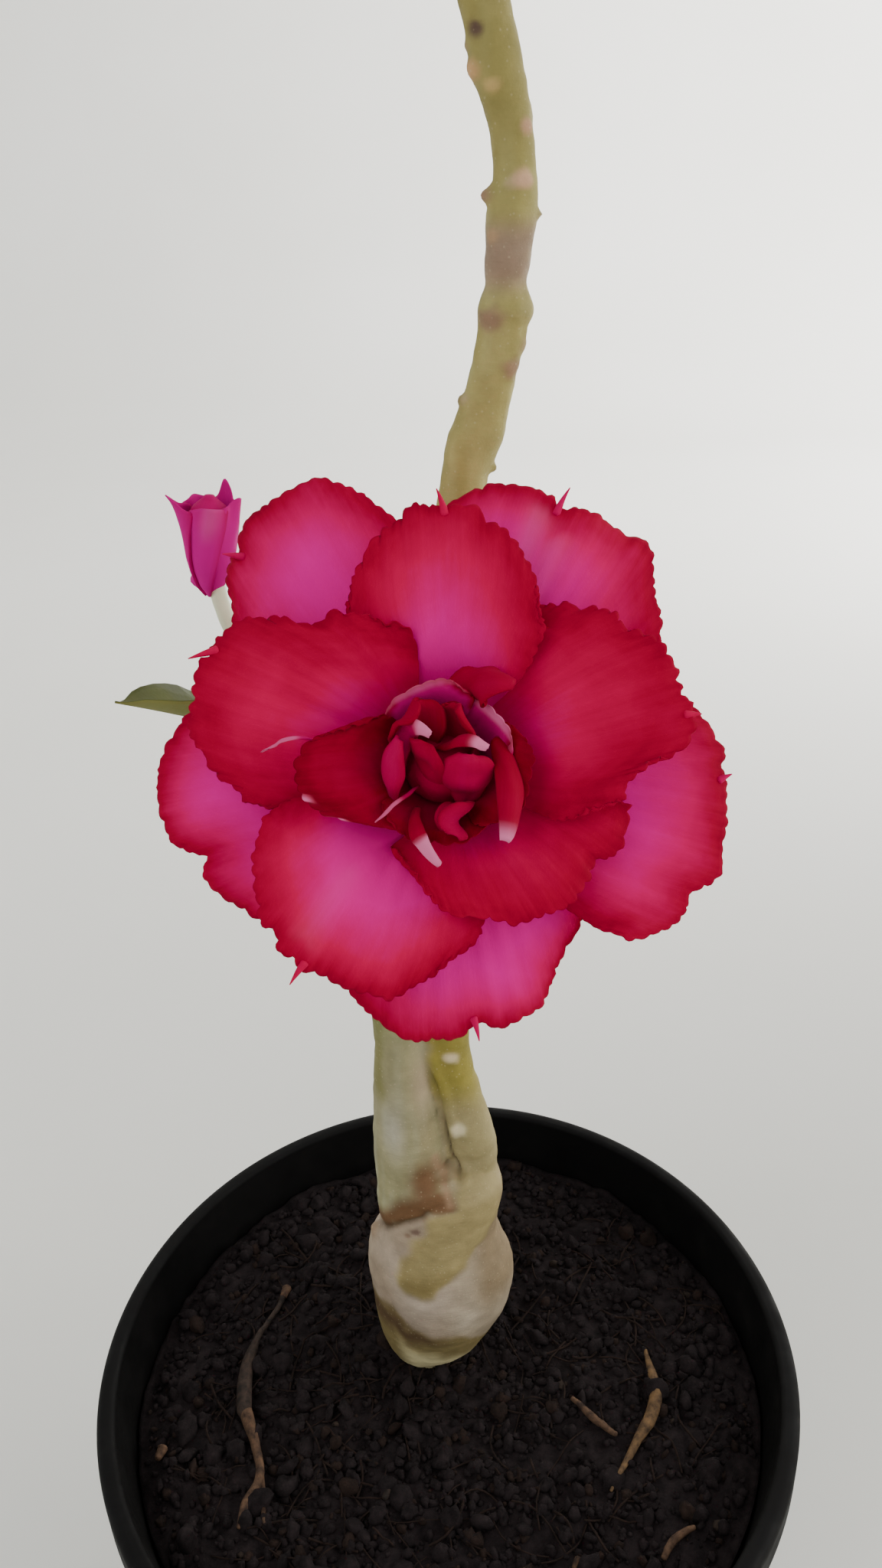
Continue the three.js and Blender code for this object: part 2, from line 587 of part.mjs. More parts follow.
// Flowering shoot at the left stem's tip: leaves behind the bloom, the bloom and a bud
const budStalk = overSoil(BUD_STALK);
const budStalkSolid = toSolid(limb(budStalk, { sides: 8, steps: 2 }));
const budStalkRoom = toSolid(limb(budStalk, { sides: 8, steps: 2, grow: GAP }));
const shootTip = pointOf(leftStem.at(-1));
const intoRow = new THREE.Matrix4().makeRotationX(radians(BLOOM_TILT)).setPosition(BLOOM_CENTRE);
const tubeFoot = new THREE.Vector3(0, 0, TUBE_END).applyMatrix4(intoRow);
const bloomRoute = [station(shootTip, 4), station(tubeFoot, 5), station(BLOOM_CENTRE, TUBE_TOP_RADIUS)];
const shootSpace = (point) => point.distanceTo(shootTip) < SHOOT_MASS.reach
  && [tallStem, leftStem, budStalk, bloomRoute].every((stations) => distanceToLimb(point, stations) > 1);
const shootAxis = new THREE.Vector3(-0.06, 0.12, 1).normalize();
const shootStart = shootTip.clone().addScaledVector(shootAxis, -1);
const shootMass = leafMass(shootStart, shootAxis, SHOOT_MASS, shootSpace, LONG_LEAF);
add('shoot_leaves', toGeometry(shootMass.subtract(leftRoom)), leafGreen);

const shootEnd = shootStart.clone().addScaledVector(shootAxis, SHOOT_MASS.twig + 1);
const shootRoom = toSolid(limb([
  station(shootStart, TWIG.mainRadius + GAP),
  station(shootEnd, TWIG.mainRadius * TWIG.taper + GAP),
]));
const stalkSolid = bloomStalkSolid(intoRow).subtract(leftRoom).subtract(shootRoom).subtract(budStalkRoom);
add('bloom_stalk', toGeometry(stalkSolid), paleGreen);
add('bud_stalk', toGeometry(budStalkSolid.subtract(leftRoom).subtract(shootRoom)), paleGreen);
add('bud', toGeometry(budSolid().subtract(budStalkRoom)), outerMagenta);

const bloom = new THREE.Group();
bloom.position.copy(BLOOM_CENTRE);
bloom.rotation.x = radians(BLOOM_TILT);
group.add(bloom);
add('outer_corolla', toGeometry(outerSolid), outerMagenta, bloom);
add('middle_corolla', toGeometry(middleSolid), crimson, bloom);
add('inner_corolla', toGeometry(innerSolid), deepCrimson, bloom);

export default group;
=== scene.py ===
"""Potted desert rose: a grafted, double-flowered plant in its black nursery pot.

Sizes are in millimetres until a mesh is made. +Z is up, the origin is the middle of the pot's
underside, and -Y is the front. The plant's routes and rules are those of its solids.
"""
from __future__ import annotations

import logging
import math
from dataclasses import dataclass, field
from enum import Enum
from typing import Any, ClassVar, Sequence

import bpy
import numpy as np
from mathutils import Matrix, Vector

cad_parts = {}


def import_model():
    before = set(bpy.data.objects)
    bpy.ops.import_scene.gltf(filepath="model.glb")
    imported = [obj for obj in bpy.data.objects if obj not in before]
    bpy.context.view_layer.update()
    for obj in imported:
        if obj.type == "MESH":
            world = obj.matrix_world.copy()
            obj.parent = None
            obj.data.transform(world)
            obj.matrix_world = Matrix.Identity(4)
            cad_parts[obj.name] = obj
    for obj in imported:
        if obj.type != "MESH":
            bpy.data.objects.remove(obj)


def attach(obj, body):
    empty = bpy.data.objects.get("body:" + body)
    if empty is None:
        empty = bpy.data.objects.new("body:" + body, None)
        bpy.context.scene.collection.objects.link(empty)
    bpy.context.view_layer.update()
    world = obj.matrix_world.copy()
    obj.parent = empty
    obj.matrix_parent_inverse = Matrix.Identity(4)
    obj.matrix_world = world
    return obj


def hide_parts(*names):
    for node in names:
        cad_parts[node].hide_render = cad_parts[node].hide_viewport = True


logging.basicConfig(level=logging.INFO, format="%(message)s")
LOG = logging.getLogger("desert_rose")

METRE = 0.001
SOIL_LEVEL = 110.0
# The turn in degrees from one leaf on a twig to the next
GOLDEN_ANGLE = 137.5
PLANT_BODY = "root"

Array = np.ndarray
Socket = bpy.types.NodeSocket
Material = bpy.types.Material
Thing = bpy.types.Object
Pair = tuple[float, float]
Triple = tuple[float, float, float]
Four = tuple[float, float, float, float]
Line = tuple[Pair, ...]
Route = tuple[Four, ...]
# A spot on the bark: its place, radius, how proud it stands, and its linear colour
Spot = tuple[Array, float, float, tuple[float, ...]]


def linear(hex_colour: str) -> Four:
    """Turns an sRGB hex colour into linear red, green and blue, with an alpha of one."""
    channels = (int(hex_colour[i:i + 2], 16) / 255 for i in (1, 3, 5))
    return *(c / 12.92 if c <= 0.04045 else ((c + 0.055) / 1.055) ** 2.4 for c in channels), 1.0


def add_node(
    tree: bpy.types.NodeTree, kind: str, inputs: dict[str | int, Any], output: str | int = 0,
    ramp: Sequence[tuple[float, str]] = (), **settings: Any,
) -> Socket:
    """Adds a node with its settings and links.

    Args:
        tree: The material's node tree.
        kind: The node's Blender type, without the words that all shader nodes start with.
        inputs: Values, or sockets to link from, by input name or index.
        output: The name or index of the output that is wanted.
        ramp: Stops of a colour ramp, each a place and an sRGB hex colour.
        settings: The node's own properties.

    Returns:
        The output's socket.
    """
    node = tree.nodes.new("ShaderNode" + kind)
    for name, value in settings.items():
        setattr(node, name, value)
    for name, value in inputs.items():
        if isinstance(value, Socket):
            tree.links.new(value, node.inputs[name])
        else:
            node.inputs[name].default_value = value
    for i, (place, colour) in enumerate(ramp):
        stops = node.color_ramp.elements
        stop = stops[i] if i < len(stops) else stops.new(place)
        stop.position = place
        stop.color = linear(colour)
    return node.outputs[output]


def fade(low: float, high: float, value: Array) -> Array:
    """Rises smoothly from 0 at low to 1 at high."""
    share = np.clip((value - low) / (high - low), 0.0, 1.0)
    return share * share * (3 - 2 * share)


def hump(value: Array, middle: float, width: float) -> Array:
    """Swells from 0 to 1 at the middle and sinks to 0 again, as a bell does."""
    return np.exp(-((value - middle) / width) ** 2)


def unit(vectors: Array) -> Array:
    """Scales vectors to a length of one."""
    return vectors / np.maximum(np.linalg.norm(vectors, axis=-1, keepdims=True), 1e-9)


def corners(sides: int) -> Array:
    """The angles of a ring's corners."""
    return np.arange(sides) * 2 * np.pi / sides


def polar(radius: Array, angle: Array, height: Array) -> Array:
    """Points at a radius and an angle round the upright axis, one row each."""
    return np.stack(np.broadcast_arrays(radius * np.cos(angle), radius * np.sin(angle), height), axis=-1)


def sheet(rows: int, columns: int) -> tuple[Array, Array]:
    """Places along a sheet from 0 to 1 and across it from -1 to 1."""
    return tuple(np.meshgrid(np.linspace(0, 1, rows), np.linspace(-1, 1, columns), indexing="ij"))


# Factors that scramble a lattice cell's numbers into one random number of 32 bits
CELL_FACTORS = np.array([73856093, 19349663, 83492791], dtype=np.uint64)
FIRST_FACTOR, SECOND_FACTOR, WORD = np.array([2654435761, 2246822519, 0xFFFFFFFF], dtype=np.uint64)


def noise(points: Array, size: float, seed: int = 0) -> Array:
    """Smooth noise that is the same on every run.

    Args:
        points: Places in millimetres, three numbers each.
        size: The width of one lump in millimetres.
        seed: Picks another pattern.

    Returns:
        One value for each place, from -1 to 1.
    """
    scaled = points / size + 17.31 * seed
    cell = np.floor(scaled).astype(np.int64)
    inside = scaled - cell
    ease = inside * inside * (3 - 2 * inside)
    total = np.zeros(scaled.shape[:-1])
    for corner in np.ndindex(2, 2, 2):
        mixed = ((cell + corner) & 0xFFFF).astype(np.uint64) * CELL_FACTORS
        mixed = (np.bitwise_xor.reduce(mixed, axis=-1) * FIRST_FACTOR) & WORD
        mixed = ((mixed ^ (mixed >> np.uint64(15))) * SECOND_FACTOR) & WORD
        value = (mixed >> np.uint64(8)).astype(float) / 2 ** 23 - 1
        total += value * np.prod(np.where(np.array(corner) == 1, ease, 1 - ease), axis=-1)
    return total


@dataclass
class Shape:
    """A mesh in arrays: points in millimetres, faces of three or four corners, and values."""

    points: Array
    faces: Array
    values: dict[str, Array] = field(default_factory=dict)
    finishes: Array | None = None

    @staticmethod
    def joined(shapes: Sequence[Shape]) -> Shape:
        """Puts several shapes with the same kind of faces and values into one.

        Args:
            shapes: At least one shape.

        Returns:
            One shape with every point and face.
        """
        starts = np.cumsum([0] + [len(shape.points) for shape in shapes[:-1]])
        faces = np.vstack([shape.faces + start for shape, start in zip(shapes, starts)])
        values = {
            name: np.concatenate([shape.values[name] for shape in shapes])
            for name in shapes[0].values
        }
        finishes = None
        if shapes[0].finishes is not None:
            finishes = np.concatenate([shape.finishes for shape in shapes])
        return Shape(np.vstack([shape.points for shape in shapes]), faces, values, finishes)

    def piece(self, name: str, materials: Sequence[Material]) -> Thing:
        """Makes the Blender object, in metres.

        Args:
            name: The object's name.
            materials: Its materials, in the order of the faces' finish numbers.

        Returns:
            The new object, linked to the scene.
        """
        mesh = bpy.data.meshes.new(name)
        width = self.faces.shape[1]
        mesh.vertices.add(len(self.points))
        mesh.vertices.foreach_set("co", (self.points * METRE).astype(np.float32).ravel())
        mesh.loops.add(self.faces.size)
        mesh.loops.foreach_set("vertex_index", self.faces.astype(np.int32).ravel())
        mesh.polygons.add(len(self.faces))
        mesh.polygons.foreach_set("loop_start", np.arange(0, self.faces.size, width, dtype=np.int32))
        mesh.polygons.foreach_set("use_smooth", np.ones(len(self.faces), dtype=bool))
        if self.finishes is not None:
            mesh.polygons.foreach_set("material_index", self.finishes.astype(np.int32))
        for key, value in self.values.items():
            kind, part = ("FLOAT_VECTOR", "vector") if value.ndim == 2 else ("FLOAT", "value")
            mesh.attributes.new(key, kind, "POINT").data.foreach_set(part, value.ravel())
        mesh.update(calc_edges=True)
        mesh.validate()
        thing = bpy.data.objects.new(name, mesh)
        bpy.context.scene.collection.objects.link(thing)
        for material in materials:
            mesh.materials.append(material)
        return thing


def place(thing: Thing, slot: str, *nodes: str) -> None:
    """Rides a finished piece on the plant's body and reports it.

    Args:
        thing: The finished piece.
        slot: A material slot's name; it is not used.
        nodes: Solids that the piece stands for.
    """
    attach(thing, PLANT_BODY)
    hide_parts(*nodes)
    triangles = sum(len(face.vertices) - 2 for face in thing.data.polygons)
    LOG.info("%s: %d triangles", thing.name, triangles)


def grid_faces(rows: int, columns: int, round_columns: bool = False) -> Array:
    """Four-cornered faces over a grid of points.

    Args:
        rows: Number of rows of points.
        columns: Number of points in a row.
        round_columns: Whether a row closes on itself.

    Returns:
        One row of four corners for each face.
    """
    span = columns if round_columns else columns - 1
    row, column = np.meshgrid(np.arange(rows - 1), np.arange(span), indexing="ij")
    after = (column + 1) % columns
    low, high = row * columns, (row + 1) * columns
    return np.stack([low + column, low + after, high + after, high + column], axis=-1).reshape(-1, 4)


def curve_through(stations: Array, count: int) -> Array:
    """A smooth curve through stations of any width.

    Args:
        stations: One station a row.
        count: Number of rows wanted.

    Returns:
        Rows on the curve, evenly spread over the stations.
    """
    padded = np.vstack([2 * stations[0] - stations[1], stations, 2 * stations[-1] - stations[-2]])
    place_at = np.linspace(0, len(stations) - 1, count)
    index = np.minimum(place_at.astype(int), len(stations) - 2)
    t = (place_at - index)[:, None]
    p0, p1, p2, p3 = (padded[index + k] for k in range(4))
    return 0.5 * (
        2 * p1 + (p2 - p0) * t + (2 * p0 - 5 * p1 + 4 * p2 - p3) * t ** 2
        + (3 * p1 - p0 - 3 * p2 + p3) * t ** 3
    )


def ring_axes(path: Array) -> tuple[Array, Array]:
    """Two directions across a path that don't twist along it.

    Args:
        path: Points along the path.

    Returns:
        The first and the second direction at each point.
    """
    tangents = unit(np.gradient(path, axis=0))
    normal = np.array([0.3, 1.0, 0.1])
    normals = np.empty_like(path)
    for i, tangent in enumerate(tangents):
        normal = unit(normal - tangent * normal.dot(tangent))
        normals[i] = normal
    return normals, np.cross(tangents, normals)


# A limb's end closes in two small rings: their radius, and how far out they lie, in radii
DOME_WIDE = np.array([0.75, 0.02])
DOME_OUT = np.array([0.35, 0.5])


def limb(stations: Array, sides: int, rings: int) -> Shape:
    """A closed round limb with domed ends.

    Args:
        stations: x, y, z and radius, one row each.
        sides: Number of corners round it.
        rings: Number of rings along it, without those of its ends.

    Returns:
        The limb.
    """
    rows = curve_through(np.asarray(stations, dtype=float), rings)
    path, radii = rows[:, :3], rows[:, 3]
    normals, others = ring_axes(path)
    heads = path[0] - unit(path[1] - path[0]) * radii[0] * DOME_OUT[::-1, None]
    tails = path[-1] + unit(path[-1] - path[-2]) * radii[-1] * DOME_OUT[:, None]
    nearest = np.clip(np.arange(-len(DOME_OUT), rings + len(DOME_OUT)), 0, rings - 1)
    path = np.vstack([heads, path, tails])
    radii = np.concatenate([radii[0] * DOME_WIDE[::-1], radii, radii[-1] * DOME_WIDE])
    angle = corners(sides)
    cosine, sine = np.cos(angle)[None, :, None], np.sin(angle)[None, :, None]
    spokes = normals[nearest][:, None] * cosine + others[nearest][:, None] * sine
    return closed_tube(path[:, None] + radii[:, None, None] * spokes)


def closed_tube(rings: Array) -> Shape:
    """Joins rings of points into a tube, and folds four-cornered faces over a middle point at its ends.

    Args:
        rings: Rings by points by three, with an even number of points in a ring.

    Returns:
        The closed shape.
    """
    sides, count = rings.shape[1], rings.size // 3
    even = np.arange(0, sides, 2)
    after, last = (even + 1) % sides, (even + 2) % sides
    bottom = np.stack([np.full_like(even, count), last, after, even], axis=-1)
    top = np.stack([np.full_like(even, count + 1), even, after, last], axis=-1)
    top[:, 1:] += count - sides
    points = np.vstack([rings.reshape(-1, 3), rings[0].mean(axis=0), rings[-1].mean(axis=0)])
    return Shape(points, np.vstack([grid_faces(len(rings), sides, True), bottom, top]))


def pattern(millimetres: float) -> float:
    """The scale of a texture whose features are so many millimetres wide."""
    return 1 / (millimetres * METRE)


@dataclass(frozen=True)
class Finish:
    """A finish: its name, and the values that its shader starts from."""

    name: str
    roughness: float
    ior: float
    specular: float
    # How strongly fine hairs or cells glow at a low angle
    sheen: ClassVar[float] = 0.0
    sheen_tint: ClassVar[str] = "#FFFFFF"

    def start(self) -> tuple[Material, bpy.types.NodeTree, bpy.types.Node]:
        """Makes the material with its shader.

        Returns:
            The material, its node tree and its shader node.
        """
        material = bpy.data.materials.new(self.name)
        material.use_nodes = True
        shader = material.node_tree.nodes["Principled BSDF"]
        shader.inputs["Roughness"].default_value = self.roughness
        shader.inputs["IOR"].default_value = self.ior
        shader.inputs["Specular IOR Level"].default_value = self.specular
        shader.inputs["Sheen Weight"].default_value = self.sheen
        shader.inputs["Sheen Tint"].default_value = linear(self.sheen_tint)
        return material, material.node_tree, shader


@dataclass(frozen=True)
class MouldedPolypropylene(Finish):
    """Black polypropylene, injection moulded.

    The mould's fine texture gives it a satin skin, which a little dried mud and dust dulls.
    """

    name: str = "polypropylene_moulded_black"
    roughness: float = 0.6
    ior: float = 1.49
    specular: float = 0.13
    colour: str = "#060505"
    dust: str = "#151211"
    grain_mm: float = 0.35
    dust_mm: float = 9.0

    def build(self) -> Material:
        """Makes the material.

        Returns:
            The material.
        """
        material, tree, shader = self.start()
        at = add_node(tree, "TexCoord", {}, "Object")
        cloud = add_node(tree, "TexNoise", {
            "Vector": at, "Scale": pattern(self.dust_mm), "Detail": 8.0, "Roughness": 0.7,
        })
        dusty = add_node(tree, "MapRange", {
            "Value": cloud, "From Min": 0.52, "From Max": 0.8, "To Max": 0.55,
        })
        paint = add_node(tree, "Mix", {"Factor": dusty, 6: linear(self.colour), 7: linear(self.dust)}, 2,
                         data_type="RGBA")
        dull = add_node(tree, "MapRange", {
            "Value": cloud, "From Min": 0.3, "From Max": 0.75,
            "To Min": self.roughness - 0.06, "To Max": self.roughness + 0.28,
        })
        grain = add_node(tree, "TexNoise", {"Vector": at, "Scale": pattern(self.grain_mm), "Detail": 2.0})
        bump = add_node(tree, "Bump", {"Strength": 0.18, "Distance": 0.05 * METRE, "Height": grain})
        tree.links.new(paint, shader.inputs["Base Color"])
        tree.links.new(dull, shader.inputs["Roughness"])
        tree.links.new(bump, shader.inputs["Normal"])
        return material


@dataclass(frozen=True)
class Grain:
    """A soft pattern: its lumps' width in millimetres, how fine it goes and how much it breaks up."""

    mm: float
    detail: float
    breakup: float = 0.5


@dataclass(frozen=True)
class TwoTone(Finish):
    """A skin of two tones in clouds, with a fine relief where it has one."""

    pale: str
    dark: str
    clouds: Grain
    grain: Grain
    # Where on the clouds the dark tone ends and the pale one starts
    stops: Pair
    relief: float
    relief_mm: float

    def build(self) -> Material:
        """Makes the material.

        Returns:
            The material.
        """
        material, tree, shader = self.start()
        at = add_node(tree, "TexCoord", {}, "Object")
        clouds, grain = (add_node(tree, "TexNoise", {
            "Vector": at, "Scale": pattern(one.mm), "Detail": one.detail, "Roughness": one.breakup,
        }) for one in (self.clouds, self.grain))
        ramp = ((self.stops[0], self.dark), (self.stops[1], self.pale))
        paint = add_node(tree, "ValToRGB", {"Fac": clouds}, ramp=ramp)
        bump = add_node(tree, "Bump", {
            "Strength": self.relief, "Distance": self.relief_mm * METRE, "Height": grain,
        })
        tree.links.new(paint, shader.inputs["Base Color"])
        tree.links.new(bump, shader.inputs["Normal"])
        return material


@dataclass(frozen=True)
class MoistPottingMix(TwoTone):
    """Peat and coir, moist and crumbly: near black, with paler fibres and no shine."""

    name: str = "potting_mix_moist"
    roughness: float = 0.93
    ior: float = 1.35
    specular: float = 0.25
    pale: str = "#2A2223"
    dark: str = "#0F0B0C"
    clouds: Grain = Grain(2.6, 9.0, 0.72)
    grain: Grain = Grain(0.45, 4.0, 0.8)
    stops: Pair = (0.32, 0.72)
    relief: float = 0.9
    relief_mm: float = 0.35


@dataclass(frozen=True)
class DryFibre(TwoTone):
    """Dead root or husk, dried in the air: a dull, ribbed skin, with painted shade darkening its furrows."""

    name: str = "root_dried"
    roughness: float = 0.82
    ior: float = 1.4
    specular: float = 0.3
    pale: str = "#6C5337"
    dark: str = "#35281D"
    clouds: Grain = Grain(1.8, 6.0, 0.65)
    grain: Grain = Grain(1.8, 6.0, 0.65)
    stops: Pair = (0.34, 0.66)
    relief: float = 0.7
    relief_mm: float = 0.25


@dataclass(frozen=True)
class LivingGreen(TwoTone):
    """Living green skin, on leaf or stalk: a waxy, even gloss over a slightly uneven green."""

    name: str = "leaf_mature"
    roughness: float = 0.46
    ior: float = 1.45
    specular: float = 0.22
    pale: str = "#5A661A"
    dark: str = "#4A5514"
    clouds: Grain = Grain(7.0, 4.0)
    grain: Grain = Grain(0.7, 3.0)
    stops: Pair = (0.35, 0.65)
    relief: float = 0.3
    relief_mm: float = 0.15


@dataclass(frozen=True)
class SprayedPlaster(TwoTone):
    """The studio's floor and sweep: pale, matt plaster with a barely uneven tone and no relief."""

    name: str = "studio_plaster"
    roughness: float = 0.9
    ior: float = 1.45
    specular: float = 0.1
    pale: str = "#E2E0DB"
    dark: str = "#DDDBD5"
    clouds: Grain = Grain(400.0, 3.0)
    grain: Grain = Grain(400.0, 3.0)
    stops: Pair = (0.3, 0.7)
    relief: float = 0.0
    relief_mm: float = 0.0


@dataclass(frozen=True)
class PetalVelvet(Finish):
    """A fresh petal: soft cells that shine like velvet, magenta at heart under a crimson margin.

    The crimson runs inwards along the veins, and the very edge is darker.
    """

    name: str = "petal_velvet"
    roughness: float = 0.62
    ior: float = 1.4
    specular: float = 0.04
    sheen: ClassVar[float] = 0.03
    sheen_tint: ClassVar[str] = "#F7A8C8"
    heart: str = "#DA008A"
    blush: str = "#C40058"
    margin: str = "#9C002E"
    edge: str = "#76001A"
    pale: str = "#E07CA8"
    vein_mm: float = 0.9
    vein_length_mm: float = 16.0
    cell_mm: float = 0.3
    cloud_mm: float = 6.25
    # How far the veins and the clouds shift the border between crimson and magenta
    finger_reach: float = 0.17
    cloud_reach: float = 0.22

    def build(self) -> Material:
        """Makes the material.

        Returns:
            The material.
        """
        material, tree, shader = self.start()
        lay, rim, pallor = (
            add_node(tree, "Attribute", {}, part, attribute_name=name)
            for name, part in (("lay", "Vector"), ("rim", "Fac"), ("pallor", "Fac"))
        )
        stretched = add_node(tree, "VectorMath", {
            0: lay, 1: (1 / self.vein_mm, 1 / self.vein_length_mm, 1.0),
        }, operation="MULTIPLY")
        veins = add_node(tree, "TexNoise", {
            "Vector": stretched, "Scale": 1.0, "Detail": 5.0, "Roughness": 0.65,
        })
        clouds = add_node(tree, "TexNoise", {"Vector": lay, "Scale": 1 / self.cloud_mm, "Detail": 3.0})
        fingers = add_node(tree, "Math", {0: veins, 1: 0.5}, operation="SUBTRACT")
        reach = add_node(tree, "Math", {0: fingers, 1: self.finger_reach, 2: rim}, operation="MULTIPLY_ADD")
        drift = add_node(tree, "Math", {0: clouds, 1: self.cloud_reach, 2: reach}, operation="MULTIPLY_ADD")
        paint = add_node(tree, "ValToRGB", {"Fac": drift}, ramp=(
            (0.02, self.edge), (0.16, self.margin), (0.4, self.blush), (0.8, self.heart),
        ))
        touched = add_node(tree, "Mix", {"Factor": pallor, 6: paint, 7: linear(self.pale)}, 2,
                           data_type="RGBA")
        cells = add_node(tree, "TexNoise", {"Vector": lay, "Scale": 1 / self.cell_mm, "Detail": 2.0})
        relief = add_node(tree, "Math", {0: cells, 1: 0.2, 2: veins}, operation="MULTIPLY_ADD")
        bump = add_node(tree, "Bump", {"Strength": 0.22, "Distance": 0.25 * METRE, "Height": relief})
        tree.links.new(touched, shader.inputs["Base Color"])
        tree.links.new(bump, shader.inputs["Normal"])
        return material


@dataclass(frozen=True)
class FleshyBark(Finish):
    """Thin, papery bark on a fleshy stem: its colour comes from the zones that the stem marks.

    Fine pale lenticels and wrinkles keep the skin from looking like plastic.
    """

    name: str = "bark_fleshy"
    roughness: float = 0.6
    ior: float = 1.42
    specular: float = 0.18
    lenticel: str = "#C9BC9A"
    speck_mm: float = 1.1
    mottle_mm: float = 6.0
    wrinkle_mm: float = 2.2
    wrinkle_height_mm: float = 0.45
    grain_mm: float = 0.4

    def build(self) -> Material:
        """Makes the material.

        Returns:
            The material.
        """
        material, tree, shader = self.start()
        at = add_node(tree, "TexCoord", {}, "Object")
        skin = add_node(tree, "Attribute", {}, "Vector", attribute_name="skin")
        mottle = add_node(tree, "TexNoise", {
            "Vector": at, "Scale": pattern(self.mottle_mm), "Detail": 7.0, "Roughness": 0.65,
        })
        shade = add_node(tree, "MapRange", {
            "Value": mottle, "From Min": 0.3, "From Max": 0.7, "To Min": 0.8, "To Max": 1.16,
        })
        mottled = add_node(tree, "VectorMath", {0: skin, "Scale": shade}, operation="SCALE")
        specks = add_node(tree, "TexVoronoi", {"Vector": at, "Scale": pattern(self.speck_mm)})
        spotted = add_node(tree, "MapRange", {
            "Value": specks, "From Min": 0.08, "From Max": 0.2, "To Min": 0.22, "To Max": 0.0,
        })
        paint = add_node(tree, "Mix", {"Factor": spotted, 6: mottled, 7: linear(self.lenticel)}, 2,
                         data_type="RGBA")
        wide, high = pattern(self.wrinkle_mm), pattern(self.wrinkle_height_mm)
        flat = add_node(tree, "VectorMath", {0: at, 1: (wide, wide, high)}, operation="MULTIPLY")
        wrinkles = add_node(tree, "TexNoise", {"Vector": flat, "Scale": 1.0, "Detail": 3.0})
        grain = add_node(tree, "TexNoise", {"Vector": at, "Scale": pattern(self.grain_mm), "Detail": 3.0})
        relief = add_node(tree, "Math", {0: grain, 1: 0.6, 2: wrinkles}, operation="MULTIPLY_ADD")
        bump = add_node(tree, "Bump", {"Strength": 0.4, "Distance": 0.22 * METRE, "Height": relief})
        tree.links.new(paint, shader.inputs["Base Color"])
        tree.links.new(bump, shader.inputs["Normal"])
        return material


@dataclass(frozen=True)
class Lamp:
    """A square soft lamp: its place and side in metres, its power in watts, and what it faces."""

    name: str
    at: Triple
    side: float
    power: float
    colour: str = "#FFFFFF"
    towards: Triple = (0.0, 0.0, 0.25)

    def hang(self) -> None:
        """Hangs the lamp in the studio."""
        data = bpy.data.lights.new(self.name, "AREA")
        data.size = self.side
        data.energy = self.power
        data.color = linear(self.colour)[:3]
        lamp = bpy.data.objects.new(self.name, data)
        lamp.location = Vector(self.at)
        facing = Vector(self.towards) - Vector(self.at)
        lamp.rotation_euler = facing.to_track_quat("-Z", "Y").to_euler()
        bpy.context.scene.collection.objects.link(lamp)


@dataclass
class Studio:
    """A plain pale floor, soft lamps, and the camera at the photograph's angle."""

    camera_place: Triple = (4.1, -175.0, 350.5)
    pitch: float = 27.4
    roll: float = -2.43
    # The photograph's height and the camera's focal length, in its pixels
    frame_height: int = 2048
    focal_pixels: float = 1550.0
    sensor: float = 36.0
    reach: Pair = (0.01, 30.0)
    lamps: tuple[Lamp, ...] = (
        Lamp("key_lamp", (-0.9, -0.9, 1.3), 1.2, 9.0, "#FFFDF8"),
        Lamp("fill_lamp", (1.6, -0.2, 0.8), 1.0, 18.0, "#FFFCF6"),
        Lamp("back_lamp", (1.5, 1.0, 1.7), 1.2, 9.0),
        Lamp("sweep_lamp", (1.3, 0.7, 0.9), 1.0, 110.0, towards=(1.1, 2.1, 0.3)),
    )
    floor_width: float = 6000.0
    floor_front: float = -2500.0
    sweep_start: float = 1500.0
    sweep_radius: float = 900.0
    sweep_height: float = 3000.0
    sky: str = "#DDE1E0"
    sky_strength: float = 1.15

    def camera(self) -> None:
        """Places the camera and makes it the scene's own."""
        pitch, roll = math.radians(self.pitch), math.radians(self.roll)
        ahead = Vector((0, math.cos(pitch), -math.sin(pitch)))
        right = Vector((1, 0, 0))
        above = right.cross(ahead)
        across = right * math.cos(roll) + above * math.sin(roll)
        upward = above * math.cos(roll) - right * math.sin(roll)
        data = bpy.data.cameras.new("studio_camera")
        data.sensor_fit = "VERTICAL"
        data.sensor_height = data.sensor_width = self.sensor
        data.lens = self.focal_pixels / self.frame_height * self.sensor
        data.clip_start, data.clip_end = self.reach
        camera = bpy.data.objects.new("studio_camera", data)
        pose = Matrix((across, upward, -ahead)).transposed().to_4x4()
        camera.matrix_world = Matrix.Translation(Vector(self.camera_place) * METRE) @ pose
        bpy.context.scene.collection.objects.link(camera)
        bpy.context.scene.camera = camera

    def build(self) -> None:
        """Makes the camera, the lamps, the sky and the floor."""
        self.camera()
        for lamp in self.lamps:
            lamp.hang()
        world = bpy.data.worlds.new("studio_sky")
        world.use_nodes = True
        backdrop = world.node_tree.nodes["Background"]
        backdrop.inputs["Color"].default_value = linear(self.sky)
        backdrop.inputs["Strength"].default_value = self.sky_strength
        bpy.context.scene.world = world
        sweep = arc((self.sweep_start, self.sweep_radius), self.sweep_radius, -90, 0, 24)
        back = self.sweep_start + self.sweep_radius
        line = np.vstack([[self.floor_front, 0.0], [0.0, 0.0], sweep, [back, self.sweep_height]])
        left, right = (np.column_stack([np.full(len(line), side * self.floor_width / 2), line])
                       for side in (-1, 1))
        floor = Shape(np.stack([left, right], axis=1).reshape(-1, 3), grid_faces(len(line), 2)[:, ::-1])
        thing = floor.piece("studio_floor", [SprayedPlaster().build()])


def applied(thing: Thing) -> Thing:
    """Turns a piece's modifiers into mesh, so that none is left on it.

    Args:
        thing: A piece with modifiers.

    Returns:
        The same piece.
    """
    graph = bpy.context.evaluated_depsgraph_get()
    thing.data = bpy.data.meshes.new_from_object(thing.evaluated_get(graph))
    thing.modifiers.clear()
    return thing


